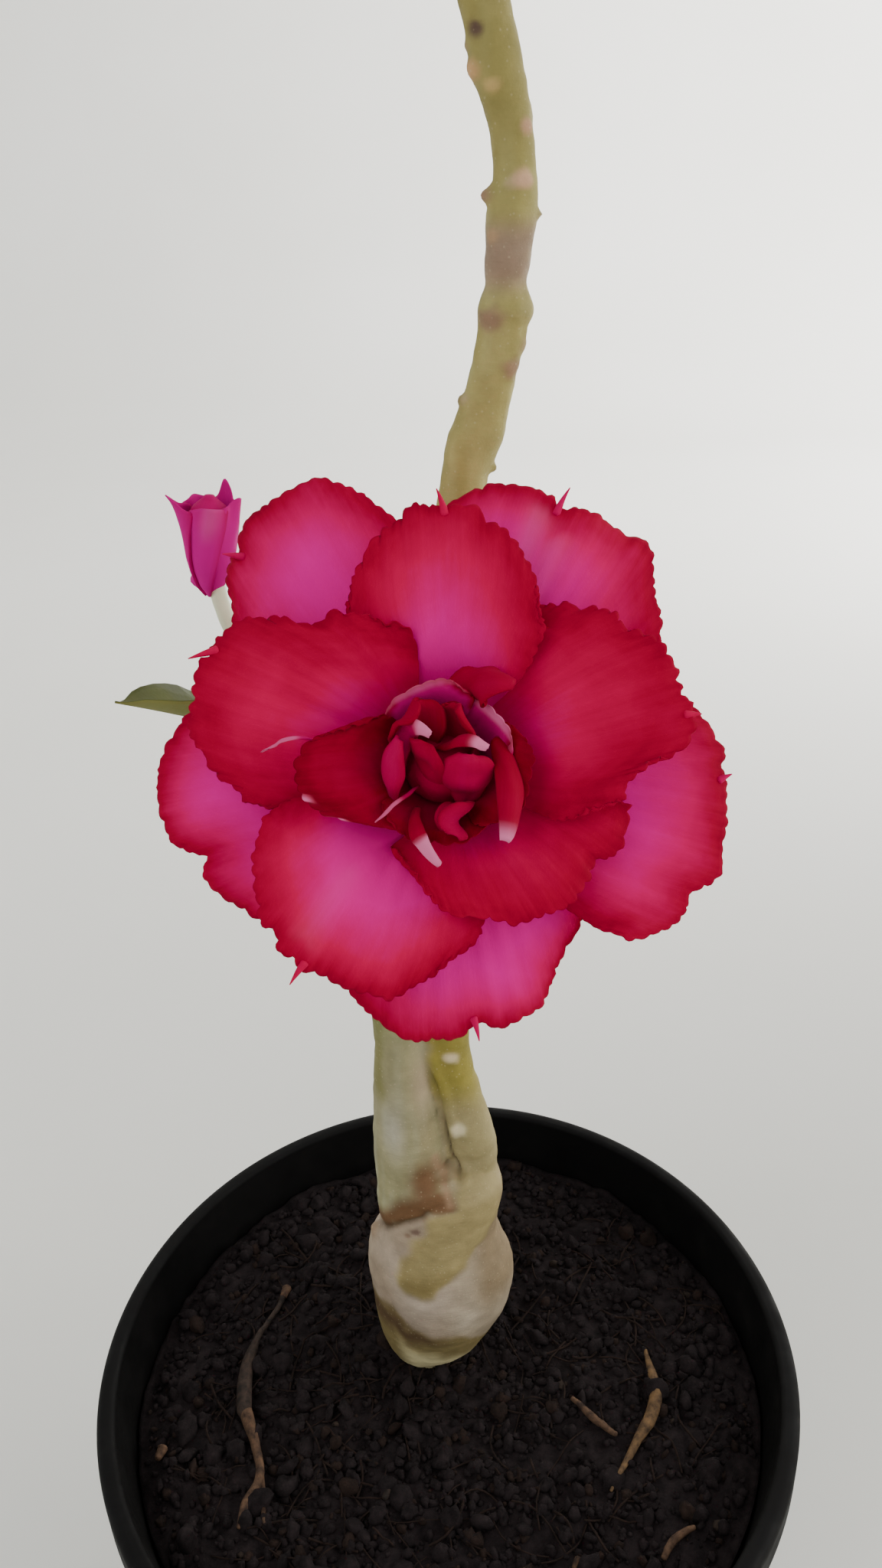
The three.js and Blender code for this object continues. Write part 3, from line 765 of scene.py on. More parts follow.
def arc(centre: Pair, radius: float, start: float, end: float, count: int = 7) -> Array:
    """A round stretch of a profile, between angles in degrees from the outward direction."""
    angle = np.radians(np.linspace(start, end, count))
    return np.array(centre) + radius * np.stack([np.cos(angle), np.sin(angle)], axis=-1)


def turned(profile: Array, sides: int) -> Shape:
    """Turns a profile of radius and height round the upright axis, closed in the middle."""
    return closed_tube(polar(profile[:, :1], corners(sides), profile[:, 1:]))


@dataclass
class Pot:
    """The nursery pot: a tapered wall with a rolled lip and six drain holes in its floor."""

    height: float = 122.0
    rim_radius: float = 75.0
    base_radius: float = 52.0
    wall: float = 2.0
    floor: float = 3.0
    lip_width: float = 4.0
    lip_depth: float = 9.0
    drain_count: int = 6
    drain_radius: float = 4.5
    drain_circle: float = 32.0
    sides: int = 192
    middle: float = 0.5

    @property
    def inside(self) -> float:
        """The radius of the opening."""
        return self.rim_radius - self.lip_width

    def wall_radius(self, z: float) -> float:
        """The inside radius of the wall at a height."""
        share = (z - self.floor) / (self.height - 1 - self.floor)
        return self.base_radius - self.wall + share * (self.inside - self.base_radius + self.wall)

    def profile(self) -> Array:
        """The pot's outline in section.

        Returns:
            Radius and height from the middle of the underside, round the lip, to the inside floor.
        """
        under_lip = self.height - self.lip_depth
        skirt = self.inside + self.wall - self.lip_depth * 0.15
        return np.vstack([
            [self.middle, 0.0], [self.base_radius - 6, 0.0], [self.base_radius - 1.8, 0.0],
            arc((self.base_radius - 1.5, 1.5), 1.5, -80, 0),
            [skirt - 0.2, under_lip - 2.0], [skirt, under_lip - 1.1],
            arc((skirt + 0.8, under_lip - 0.9), 0.8, 180, 100),
            arc((self.rim_radius - 1.0, under_lip + 1.0), 1.0, -80, 0),
            [self.rim_radius, under_lip + 1.4], [self.rim_radius, self.height - 2.4],
            arc((self.rim_radius - 2.0, self.height - 2.0), 2.0, 0, 90, 9),
            arc((self.inside + 1.2, self.height - 1.2), 1.2, 90, 180),
            [self.inside - 0.2, self.height - 2.2],
            [self.base_radius - self.wall + 0.2, self.floor + 1.4],
            arc((self.base_radius - self.wall - 1.0, self.floor + 1.2), 1.2, 0, -90),
            [self.middle, self.floor],
        ])

    def build(self) -> None:
        """Makes the pot in place of its solid."""
        thing = turned(self.profile(), self.sides).piece("nursery_pot", [MouldedPolypropylene().build()])
        for angle in corners(self.drain_count):
            drill = turned(np.array([[self.drain_radius, -2.0], [self.drain_radius, self.floor + 2.0]]), 32)
            drill.points += polar(self.drain_circle, angle, 0.0)
            cutter = drill.piece("drill", [])
            cut = thing.modifiers.new("drain", "BOOLEAN")
            cut.object = cutter
            cut.operation = "DIFFERENCE"
            applied(thing)
            bpy.data.objects.remove(cutter)
        place(thing, "black_plastic", "pot")


def ball(rings: int, sides: int) -> Shape:
    """A closed ball of radius one."""
    angle = np.linspace(0.12, np.pi - 0.12, rings)
    return turned(np.stack([np.sin(angle), -np.cos(angle)], axis=-1), sides)


class RootTone(Enum):
    """How clean a dry root is, as the number of its finish."""

    DRY = 0
    BROWN = 1
    SOILED = 2


@dataclass
class PottingMix:
    """Crumbly dark mix with loose crumbs, fibres and a few dry roots on top."""

    pot: Pot
    edge_drop: float = 1.5
    clear: float = 0.6
    middle: float = 0.4
    rings: int = 84
    sides: int = 200
    small_crumbs: int = 3900
    large_crumbs: int = 620
    fibres: int = 250
    trunk_at: Pair = (-4.3, 10.0)
    seed: int = 5
    # Each dry root: its tone, then x, y and half width at each bend
    roots: tuple[tuple[RootTone, tuple[Triple, ...]], ...] = (
        (RootTone.DRY, ((45.1, 4.6, 0.4), (45.3, -6.4, 1.3), (43.3, -12.3, 1.4), (39, -18.3, 0.9),
                        (32.5, -27.7, 0.3))),
        (RootTone.BROWN, ((26.9, -8, 0.5), (31.4, -12.8, 0.8), (35.4, -15.8, 0.5))),
        (RootTone.BROWN, ((-38.4, 25, 1.2), (-38.9, 22.4, 0.9))),
        (RootTone.SOILED, ((-38.8, 23, 0.7), (-40.2, 19, 0.6), (-43.3, 11.8, 0.7), (-45.4, 3.5, 1.5),
                           (-44.8, -5.6, 1.7), (-44, -8.6, 1.3))),
        (RootTone.BROWN, ((-44.9, -4, 0.9), (-43.6, -9, 1.4), (-41.5, -14.2, 1), (-39.5, -21.5, 0.9),
                          (-41.4, -28, 1.1), (-42.4, -32.5, 0.5))),
        (RootTone.BROWN, ((-39.6, -20.6, 0.7), (-38.4, -26, 0.6), (-37.4, -32, 0.4))),
        (RootTone.BROWN, ((40.7, -41.4, 0.6), (43.2, -38.4, 0.8), (47.6, -36.1, 0.5))),
        (RootTone.SOILED, ((-13.4, -27.5, 0.6), (-12.4, -25.6, 0.8))),
        (RootTone.BROWN, ((23.4, -42, 0.6), (24.4, -40.4, 0.8))),
        (RootTone.BROWN, ((-61.6, -17, 0.8), (-60.9, -14.8, 1.2))),
    )

    @property
    def radius(self) -> float:
        """The mix's radius at its top, a little clear of the wall."""
        return self.pot.wall_radius(SOIL_LEVEL - self.edge_drop) - self.clear

    def level(self, x: Array, y: Array) -> Array:
        """The height of the mix's surface.

        Args:
            x: Places across.
            y: Places in depth.

        Returns:
            One height for each place.
        """
        flat = np.stack([x, y, 0 * x], axis=-1)
        lumps = 1.5 * noise(flat, 17, 1) + 1.1 * noise(flat, 7, 2)
        lumps += 0.75 * noise(flat, 3.1, 3) + 0.4 * noise(flat, 1.5, 4)
        away = np.hypot(x, y)
        banked = 1.1 * hump(np.hypot(x - self.trunk_at[0], y - self.trunk_at[1]), 8, 5)
        return SOIL_LEVEL + lumps + banked - self.edge_drop * fade(self.radius - 9, self.radius, away)

    def body(self) -> Shape:
        """The body of the mix, with its uneven top.

        Returns:
            The closed body, down to the pot's floor.
        """
        low = self.pot.floor + 0.3
        radii = [self.middle, self.pot.wall_radius(low) - self.clear]
        radii = np.concatenate([radii, np.linspace(self.radius, self.middle, self.rings)])
        rings = polar(radii[:, None], corners(self.sides), low)
        rings[2:, :, 2] = self.level(rings[2:, :, 0], rings[2:, :, 1])
        return closed_tube(rings)

    def crumbs(self, count: int, sizes: Pair, grain: Shape, rng: np.random.Generator) -> Shape:
        """Loose crumbs strewn over the surface.

        Args:
            count: Number of crumbs.
            sizes: Least and greatest half width.
            grain: The ball that each is squeezed from.
            rng: The seeded generator.

        Returns:
            All of them in one shape, with a finish number for each face.
        """
        far = np.sqrt(rng.random(count)) * (self.radius - sizes[1] * 1.3)
        turn = rng.random(count) * 2 * np.pi
        x, y = far * np.cos(turn), far * np.sin(turn)
        size = sizes[0] + (sizes[1] - sizes[0]) * rng.random(count) ** 2.2
        spots = np.stack([x, y, self.level(x, y) + size * 0.25], axis=-1)
        shapes = []
        for spot, radius in zip(spots, size):
            squeeze = rng.uniform(0.5, 1.2, 3) * radius
            lumpy = 1 + 0.5 * noise(grain.points * 1.9 + spot, 1.0, 7)[:, None]
            spin = np.array(Matrix.Rotation(rng.random() * 6.28, 3, Vector(rng.normal(size=3))))
            points = (grain.points * lumpy * squeeze) @ spin.T + spot
            finish = np.full(len(grain.faces), rng.choice(3, p=(0.87, 0.12, 0.01)))
            shapes.append(Shape(points, grain.faces, finishes=finish))
        return Shape.joined(shapes)

    def fibre(self, rng: np.random.Generator) -> Shape:
        """One thin curved fibre that lies on the surface.

        Args:
            rng: The seeded generator.

        Returns:
            The fibre.
        """
        far, turn = math.sqrt(rng.random()) * (self.radius - 12), rng.random() * 2 * math.pi
        heading, bend = rng.random() * 2 * math.pi, rng.normal() * 0.5
        steps = np.linspace(0, rng.uniform(5, 16), 5)
        x = far * math.cos(turn) + np.cumsum(np.cos(heading + bend * steps / 6)) * steps[1]
        y = far * math.sin(turn) + np.cumsum(np.sin(heading + bend * steps / 6)) * steps[1]
        inwards = np.minimum(1, (self.radius - 2) / np.maximum(np.hypot(x, y), 1))
        x, y = x * inwards, y * inwards
        z = self.level(x, y) + rng.uniform(0.2, 1.4, 5)
        thickness = np.full(5, rng.uniform(0.12, 0.3))
        return limb(np.stack([x, y, z, thickness], axis=-1), 4, 9)

    def root(self, bends: Sequence[Triple]) -> Shape:
        """One dry root: it rests on the mix and is ribbed and knotted along its length.

        Args:
            bends: x, y and half width at each of its bends.

        Returns:
            The root.
        """
        rows = curve_through(np.array(bends), 5 * len(bends))
        x, y, half = rows.T
        z = self.level(x, y)
        rested = np.maximum(z, np.convolve(np.pad(z, 2, "edge"), np.ones(5) / 5, "valid")) + half + 0.6
        shape = limb(np.stack([x, y, rested, half], axis=-1), 12, 14 * len(bends))
        outwards = shape.points - np.mean(shape.points, axis=0)
        rough = 0.14 * noise(shape.points, 2.4, 11) + 0.07 * noise(shape.points, 0.8, 12)
        shape.points += unit(outwards) * rough[:, None]
        return shape

    def build(self) -> None:
        """Makes the mix, its crumbs, fibres and roots."""
        rng = np.random.default_rng(self.seed)
        peat = MoistPottingMix().build()
        place(self.body().piece("potting_mix_body", [peat]), "potting_mix", "potting_mix")
        brown = MoistPottingMix(name="potting_mix_bark_crumb", dark="#17110F", pale="#30231E").build()
        grit = MoistPottingMix(name="potting_mix_grit", dark="#241D1A", pale="#3C322B").build()
        for name, count, sizes, grain in (
            ("crumbs_fine", self.small_crumbs, (0.5, 1.5), ball(4, 6)),
            ("crumbs_coarse", self.large_crumbs, (1.2, 2.7), ball(6, 10)),
        ):
            crumbs = self.crumbs(count, sizes, grain, rng)
            place(crumbs.piece(name, [peat, brown, grit]), "potting_mix", "potting_mix")
        fibres = Shape.joined([self.fibre(rng) for _ in range(self.fibres)])
        place(fibres.piece("coir_fibres", [brown]), "potting_mix", "potting_mix")
        tones = [
            DryFibre().build(),
            DryFibre(name="dry_root_brown", dark="#2A1E18", pale="#5E4634").build(),
            DryFibre(name="dry_root_soiled", dark="#1B1512", pale="#3A2D26").build(),
        ]
        roots = []
        for tone, bends in self.roots:
            root = self.root(bends)
            root.finishes = np.full(len(root.faces), tone.value)
            roots.append(root)
        place(Shape.joined(roots).piece("dry_roots", tones), "potting_mix", "potting_mix")


@dataclass(frozen=True)
class Whorl:
    """How one ring of petals climbs out of its throat and droops again, and its finish."""

    throat: float
    floor: float
    rise: float
    scale: float
    droop: float
    span: float
    tilt: float
    finish: PetalVelvet
    # Its length of tube: foot and top over those of the whole tube, inset, and pallor at the foot
    tube: Four | None = None
    # How much of the heart's magenta runs down over the claws
    claw_heart: float = 0.0


class WhorlName(Enum):
    """The rings of petals, from the outside in."""

    OUTER = "outer"
    MIDDLE = "middle"
    INNER = "inner"


@dataclass(frozen=True)
class Petal:
    """One petal: its direction and outline, and what marks it.

    s runs across a petal from -1 to 1, clockwise side positive, and t from claw to rim.
    """

    at: float
    reach: float
    cw: float
    ccw: float
    fall_cw: float
    fall_ccw: float
    heart: float = 1.0
    # How wide its crimson margin is, and how much wider towards the clockwise side
    crimson_mm: float = 7.0
    lean: float = 0.0
    ruffle: float = 1.0
    # Where on the rim the bristle stands (s), its length, and how far its heading turns from the petal's
    bristle: Triple | None = None
    # Each notch: where on the rim (s), how deep in millimetres, and its half width in s
    notches: tuple[Triple, ...] = ()
    # Each bite out of a side: that side's s (-1 or 1), its place along the petal (t), depth and half width
    bites: tuple[Four, ...] = ()
    # A pale streak: s, t where it starts and ends, its half width in s, and how pale it is
    streaks: tuple[tuple[float, float, float, float, float], ...] = ()

    def width(self, s: Array) -> Array:
        """Half the petal's width, on the side that each s lies on."""
        return np.where(s > 0, self.cw, self.ccw)


@dataclass(frozen=True)
class Petaloid:
    """A narrow inner petal that stands up: foot, shoulder and tip in the bloom's frame."""

    foot: Triple
    shoulder: Triple
    tip: Triple
    width: float
    facing: float
    pale_from: float = 2.0
    curl: float = 0.5
    heart: float = 0.3
    lift: float = 1.0
    paleness: float = 0.85


def shell(middle: Array, half: Array, values: dict[str, Array]) -> Shape:
    """Thickens a grid of points into a closed shell.

    Args:
        middle: The shell's middle surface, rows by columns by three.
        half: Half its thickness at each point.
        values: Values of each point, which both faces share.

    Returns:
        The closed shell.
    """
    rows, columns = middle.shape[:2]
    along, across = np.gradient(middle, axis=0), np.gradient(middle, axis=1)
    normals = unit(np.cross(along, across))
    points = np.concatenate([middle + normals * half[..., None], middle - normals * half[..., None]])
    face = grid_faces(rows, columns)
    count = rows * columns
    ids = np.arange(count).reshape(rows, columns)
    border = np.concatenate([ids[0, :-1], ids[:-1, -1], ids[-1, :0:-1], ids[:0:-1, 0]])
    after = np.roll(border, -1)
    side = np.stack([border, border + count, after + count, after], axis=-1)
    doubled = {
        key: np.concatenate([value.reshape(count, *value.shape[2:])] * 2) for key, value in values.items()
    }
    faces = np.vstack([face[:, ::-1], face + count, side[:, ::-1]])
    return Shape(points.reshape(-1, 3), faces, doubled)


WHORLS = {
    WhorlName.OUTER: Whorl(8, -6, 6, 6, 4, 38, 2, PetalVelvet("petal_velvet_outer"), (0.5, 1, 0, 0.35)),
    WhorlName.MIDDLE: Whorl(
        6.5, -4, 11, 5.5, 2, 33, 2,
        PetalVelvet("petal_velvet_middle", heart="#D60082", blush="#BE0046", margin="#9C002C"),
        (6, 3, 1.5, 0.0), 0.5,
    ),
    WhorlName.INNER: Whorl(
        4.4, -1, 11.5, 3.5, 1, 20, 1,
        PetalVelvet("petal_velvet_inner", heart="#B80068", blush="#A0003A", margin="#880022", edge="#5C000E"),
    ),
}

PETALS = {
    WhorlName.OUTER: (
        Petal(118, 39.7, 13, 14, 0.52, 0.22, bristle=(-0.6, 2.1, 50), crimson_mm=9,
              notches=((-0.62, 1.3, 0.07),)),
        Petal(66, 36.4, 20, 15, 0.24, 0.35, bristle=(0.09, 2.8, 0), crimson_mm=9, lean=0.6,
              notches=((0.1, 1.4, 0.06), (0.68, -1.7, 0.12), (0.9, 2, 0.1)),
              streaks=((-0.02, 0.3, 0.88, 0.1, 0.16), (0.16, 0.45, 0.8, 0.12, 0.1))),
        Petal(-18, 36.3, 15, 18.5, 0.17, 0.34, bristle=(-0.4, 0.9, 45), crimson_mm=12,
              notches=((-0.5, 0.9, 0.05), (0.2, -0.9, 0.2), (0.5, 1.2, 0.08))),
        Petal(-86, 34.2, 15.5, 18, 0.22, 0.58, lean=0.6, bristle=(-0.02, 1.9, 12),
              notches=((-0.05, 1.3, 0.08), (0.5, -1, 0.3), (-0.7, 1.5, 0.12))),
        Petal(193, 34.6, 18, 16.5, 0.3, 0.42,
              notches=((-0.2, 3, 0.09), (0.28, -1.5, 0.35), (-0.45, 1.6, 0.2))),
    ),
    WhorlName.MIDDLE: (
        Petal(89, 31, 12.5, 12, 0.38, 0.46, heart=0.8, crimson_mm=10, ruffle=1.5, bristle=(0.08, 2.4, 12),
              notches=((-0.45, 0.8, 0.1), (0.5, 0.7, 0.08)),
              bites=((-1, 0.76, 1.3, 0.08), (-1, 0.6, -0.7, 0.08))),
        Petal(156, 31, 14, 13, 0.6, 0.33, heart=0.42, crimson_mm=9, ruffle=1.4, bristle=(0.2, 2.4, 36),
              notches=((0.1, 0.7, 0.05), (0.7, 4.6, 0.11))),
        Petal(239, 29.4, 15.5, 14, 0.4, 0.38, heart=0.95, crimson_mm=8.5, ruffle=1.3,
              bristle=(0.19, 2.1, -10), notches=((0.3, 1, 0.06), (0.5, 1.3, 0.07)),
              streaks=((0.3, 0.45, 0.85, 0.12, 0.06),)),
        Petal(-64, 21.3, 10.9, 17.5, 0.62, 0.2, heart=0.36, crimson_mm=9, ruffle=1.3,
              notches=((-0.3, -0.8, 0.12), (-0.62, 1, 0.07), (0.45, 2.1, 0.25)),
              bites=((1, 0.95, 1.2, 0.2),)),
        Petal(14, 30, 10.8, 15.5, 0.42, 0.42, heart=0.4, crimson_mm=11, ruffle=1.6,
              bristle=(0.25, 0.9, -10), notches=((-0.62, 1.2, 0.06), (0, 0.7, 0.05), (0.74, 5, 0.13)),
              bites=((-1, 0.62, -1.2, 0.05), (-1, 0.74, 0.8, 0.05))),
    ),
    WhorlName.INNER: (
        Petal(182, 17.2, 5.6, 7, 0.45, 0.55, heart=0.22, crimson_mm=6, ruffle=1.2,
              streaks=((-0.42, 0.95, 1, 0.05, 0.7), (-0.78, 0.93, 1, 0.05, 0.7))),
        Petal(110, 9.6, 5.5, 4.5, 0.2, 0.25, heart=1.3, crimson_mm=1.2, ruffle=0.5,
              streaks=((0, 0.9, 1, 0.9, 0.3),)),
        Petal(46, 8.6, 5, 4.5, 0.2, 0.2, heart=1.2, crimson_mm=1.2, ruffle=0.5,
              streaks=((0.2, 0.86, 1, 0.6, 0.6),)),
        Petal(-18, 10.6, 5, 6, 0.25, 0.25, heart=0.2, crimson_mm=4),
        Petal(-98, 9.4, 6, 6, 0.25, 0.25, heart=0.3, crimson_mm=4),
    ),
}


@dataclass
class Bloom:
    """The double bloom: three whorls of ruffled petals, the tangle inside, and the tube behind them."""

    centre: Triple = (4.4, -44.6, 285.7)
    tilt: float = 63.6
    half_angle: float = 38.0
    rows: int = 40
    columns: int = 121
    tooth_mm: float = 1.7
    pleat_mm: float = 3.1
    half_thickness: float = 0.24
    tube_top: float = -6.0
    tube_end: float = -38.0
    tube_top_radius: float = 8.0
    tube_end_radius: float = 3.0
    # Radius and height of the small core that closes the throat
    core: Line = ((4.6, -8.0), (5.0, -1.0), (4.6, 3.0), (3.2, 6.4), (0.6, 7.6))
    petaloids: tuple[Petaloid, ...] = (
        Petaloid((-5.3, -1.3, 4), (-5.2, 6, 11), (-1.3, 3.3, 12), 2.2, 215, 0.8, 0.5, 0.4, 1.5, 0.75),
        Petaloid((-0.8, 1.6, 5), (1.1, 4, 11.5), (5.3, 1.6, 12.5), 2, 60, 0.78, 0.5, 0.12, 1.5, 0.75),
        Petaloid((-1, -2.6, 5), (-2, 0.4, 9.5), (-3.1, 2.8, 10.5), 4.4, 200, 2, 0.5, 0.15, 0.8),
        Petaloid((2.7, -4.8, 4), (2.7, -1.6, 10.5), (2.8, 1.2, 10.8), 6, -90, 2, 0.4, 0.3, 1),
        Petaloid((6.3, 2.5, 6), (9.2, -2.1, 11), (6.7, -8.8, 11), 3, 0, 0.91, 0.5, 0.06, 3, 0.8),
        Petaloid((1.7, -4.8, 5), (1.5, -6.6, 9), (1, -8.2, 9), 5, -90, 2, 0.4, 0.3, 1),
        Petaloid((-6.2, -4, 5), (-7, -0.4, 10), (-4.9, 2.8, 10.4), 3.2, 200, 2, 0.5, 0.35, 0.6),
        Petaloid((-3, -5.5, 5), (-4.6, -7.6, 12.5), (-0.8, -11.7, 9.4), 1.5, 180, 0.6, 0.4, 0.05, 3, 0.75),
        Petaloid((-2.9, -2.5, 5), (-4.6, -3.6, 9.6), (-8.3, -6.5, 9.2), 0.4, 90, 0.5, 0.3, 0.4, 2, 0.35),
        Petaloid((-2, 1.5, 4), (-3.6, 5.6, 9), (-2.8, 7.2, 9.4), 6.5, 100, 2, 0.5, 0.1, 0.4),
        Petaloid((2, 1.5, 4), (2.6, 5.6, 9), (2.4, 7, 9.6), 5.6, 70, 2, 0.5, 0.1, 0.4),
        Petaloid((2, 6, 5), (3.4, 11.8, 8.5), (8.8, 9, 8.4), 5.6, 60, 2, 0.5, 0.12, 1),
        Petaloid((-14.5, 3.2, 9.4), (-17.5, 4.2, 10.4), (-21.4, 2.2, 8.2), 0.4, 90, 0.3, 0.3, 0.5, 2, 0.4),
    )

    def in_plant(self, points: Array) -> Array:
        """Turns points from the bloom's frame into the plant's."""
        turn = np.array(Matrix.Rotation(math.radians(self.tilt), 3, "X"))
        return points @ turn.T + np.array(self.centre)

    def scallops(self, along: Array) -> Array:
        """Small round teeth with sharp gaps between them, from -1 to 0, along a margin."""
        return np.abs(np.sin(np.pi * along / self.tooth_mm)) ** 0.6 - 1

    @staticmethod
    def rim_line(petal: Petal, s: Array) -> Array:
        """The petal's rim without its teeth.

        Args:
            petal: The petal.
            s: Places across it.

        Returns:
            How far along and across the petal the rim lies, one row for each place.
        """
        size = np.abs(s)
        fall = np.where(s > 0, petal.fall_cw, petal.fall_ccw) * size ** 3 + 0.09 * size ** 14
        reach = petal.reach * (1 - fall)
        for where, depth, half_width in petal.notches:
            reach -= depth * hump(s, where, half_width)
        return np.stack([reach, s * petal.width(s)], axis=-1)

    @staticmethod
    def run(line: Array) -> Array:
        """The length run along a line at each of its points."""
        return np.concatenate([[0], np.cumsum(np.linalg.norm(np.diff(line, axis=0), axis=1))])

    def surface(self, whorl: Whorl, petal: Petal, s: Array, t: Array, seed: int) -> Array:
        """The middle surface of a petal, with its notches, ruffles and pleats.

        Args:
            whorl: The ring that the petal stands in.
            petal: The petal.
            s: Places across it.
            t: Places along it.
            seed: Picks the ruffles.

        Returns:
            Points in the bloom's frame, of the same shape as s with three more numbers.
        """
        facing = math.radians(petal.at)
        along = np.array([math.cos(facing), math.sin(facing)])
        across = np.array([math.sin(facing), -math.cos(facing)])
        half = math.radians(self.half_angle) * s
        size = np.abs(s)
        claw = whorl.throat * (np.cos(half)[..., None] * along + np.sin(half)[..., None] * across)
        width = petal.width(s)
        line = self.rim_line(petal, s[0])
        run = self.run(line)
        heading = unit(np.gradient(line, axis=0))
        flat = np.stack([run + 60 * seed, 0 * run, 0 * run], axis=-1)
        teeth = 0.4 * noise(flat, 3.1, seed) + 0.25 * noise(flat, 1.2, seed + 1)
        teeth += 0.4 * self.scallops(run + 1.5 * noise(flat, 5, seed + 2))
        outwards = np.stack([heading[:, 1], -heading[:, 0]], axis=-1)
        toothed = line[None] + (outwards * (petal.ruffle * teeth)[:, None])[None] * (t ** 7)[..., None]
        rim = toothed[..., :1] * along + toothed[..., 1:] * across
        belly = 2 * s * np.sin(np.pi * t)
        side = np.stack([t * np.abs(line[:, 0]) * 0.9 + 33 * seed, 9 * np.sign(s), 0 * s], axis=-1)
        jag = 0.3 * noise(side, 2.6, seed + 3)
        jag += 0.3 * self.scallops(side[..., 0] + 1.2 * noise(side, 5, seed + 4))
        belly += np.sign(s) * size ** 10 * jag * petal.ruffle * fade(0.25, 0.6, t)
        for where, place_along, depth, half_width in petal.bites:
            bite = depth * hump(t, place_along, half_width)
            belly -= where * (np.sign(s) == where) * size ** 5 * bite
        point = claw * (1 - t)[..., None] + rim * t[..., None] + belly[..., None] * across
        out = np.maximum(np.linalg.norm(point, axis=-1) - whorl.throat, 0)
        height = whorl.floor + whorl.rise * (1 - np.exp(-out / whorl.scale)) + whorl.tilt * s * t
        height = height - whorl.droop * (out / (whorl.span - whorl.throat)) ** 3
        edge = np.maximum(t, fade(0.5, 1.0, size) * fade(0.15, 0.6, t))
        spread = np.stack([s * width * 0.9 + 50 * seed, 7 * t, 0 * s], axis=-1)
        waves = noise(spread, 7.5, seed + 5) * 1.5
        frills = noise(spread, 2.6, seed + 6) * 0.5
        height += petal.ruffle * (waves * edge ** 3 + frills * edge ** 8)
        drift = 2.0 * noise(spread, 9, seed + 7)
        pleats = np.cos(s * width * 2 * np.pi / self.pleat_mm + drift)
        height += 0.05 * pleats * fade(0.15, 0.5, t)
        height -= 0.5 * hump(s, 0, 0.09) * fade(0.1, 0.4, t) * (1 - t)
        return np.concatenate([point, height[..., None]], axis=-1)

    def petal_shape(self, whorl: Whorl, petal: Petal, seed: int) -> Shape:
        """One petal as a closed shell, with the values that its finish reads.

        Args:
            whorl: The ring that the petal stands in.
            petal: The petal.
            seed: Picks the ruffles.

        Returns:
            The petal and its bristle.
        """
        dense = np.linspace(-1, 1, 400)
        run = self.run(self.rim_line(petal, dense))
        even = np.interp(np.linspace(0, run[-1], self.columns), run, dense)
        t, s = np.meshgrid(np.linspace(0, 1, self.rows) ** 0.82, even, indexing="ij")
        middle = self.surface(whorl, petal, s, t, seed)
        margin = np.concatenate([middle[-1], middle[self.rows // 3:, 0], middle[self.rows // 3:, -1]])
        flat = middle.reshape(-1, 1, 3) - margin[None]
        inside = np.linalg.norm(flat, axis=-1).min(axis=1).reshape(s.shape)
        crimson = petal.crimson_mm * (1 + petal.lean * s)
        rim = petal.heart * (1 - np.exp(-((inside / crimson) ** 1.3)))
        pallor = np.zeros_like(s)
        for where, start, end, half_width, amount in petal.streaks:
            streak = hump(s, where, half_width) * fade(start - 0.08, start + 0.03, t)
            pallor = np.maximum(pallor, amount * streak * (1 - fade(end, end + 0.08, t)))
        rim = rim + 0.9 * pallor + whorl.claw_heart * petal.heart * (1 - fade(0.15, 0.6, t))
        lay = np.stack([s * petal.width(s) + 100 * seed, t * petal.reach, 0 * s], axis=-1)
        half = self.half_thickness * (0.25 + 0.75 * fade(0, 1.6, inside))
        shape = shell(middle, half, {"lay": lay, "rim": rim, "pallor": pallor})
        if petal.bristle is None:
            return shape
        where, length, lean = petal.bristle
        near = np.argmin(np.abs(s[-1] - where))
        root = middle[-3, near]
        heading = math.radians(petal.at + lean)
        ahead = np.array([math.cos(heading), math.sin(heading), 0.12])
        steps = np.array([0.0, 0.35, 0.7, 1.0])
        hook = np.outer(steps ** 2, [0.12 * length * math.sin(seed), -0.1 * length, 0.1 * length])
        path = root + np.outer(steps, ahead) * (length + 0.8) + hook
        thorn = limb(np.column_stack([path, [0.55, 0.4, 0.22, 0.07]]), 8, 12)
        return Shape.joined([shape, self.plain(thorn, 0.22)])

    @staticmethod
    def plain(shape: Shape, rim: float) -> Shape:
        """Gives a shape one even colour of the petals' finish, so far in from the margin's crimson."""
        even = np.ones(len(shape.points))
        return Shape(shape.points, shape.faces, {"lay": shape.points, "rim": rim * even, "pallor": 0 * even})

    def up_tube(self, h: Array) -> Array:
        """How far up the tube each height in the bloom's frame lies, from 0 to 1."""
        return (h - self.tube_end) / (self.tube_top - self.tube_end)

    def tube_radius(self, h: Array) -> Array:
        """The radius of the bloom's tube at heights in its own frame."""
        return self.tube_end_radius + self.up_tube(h) * (self.tube_top_radius - self.tube_end_radius)

    def tube(self, low: float, high: float, inset: float, pallor: float) -> Shape:
        """A ribbed length of the tube behind the petals.

        Args:
            low: The height of its foot in the bloom's frame.
            high: The height of its top.
            inset: How far inside the outer tube it lies.
            pallor: How pale its foot is.

        Returns:
            The closed shell.
        """
        h, turn = np.meshgrid(np.linspace(low, high, 26), np.linspace(0, 2 * np.pi, 60), indexing="ij")
        share = self.up_tube(h)
        radius = self.tube_radius(h) - inset
        radius = radius + 0.22 * np.cos(5 * turn) * fade(0.1, 0.6, share) + 0.06 * np.cos(20 * turn)
        values = {"lay": np.stack([radius * turn, h, 0 * h], axis=-1), "rim": 0.55 + 0 * h,
                  "pallor": pallor * (1 - fade(0.5, 1.0, share))}
        return shell(polar(radius, turn, h), np.full(h.shape, 0.35), values)

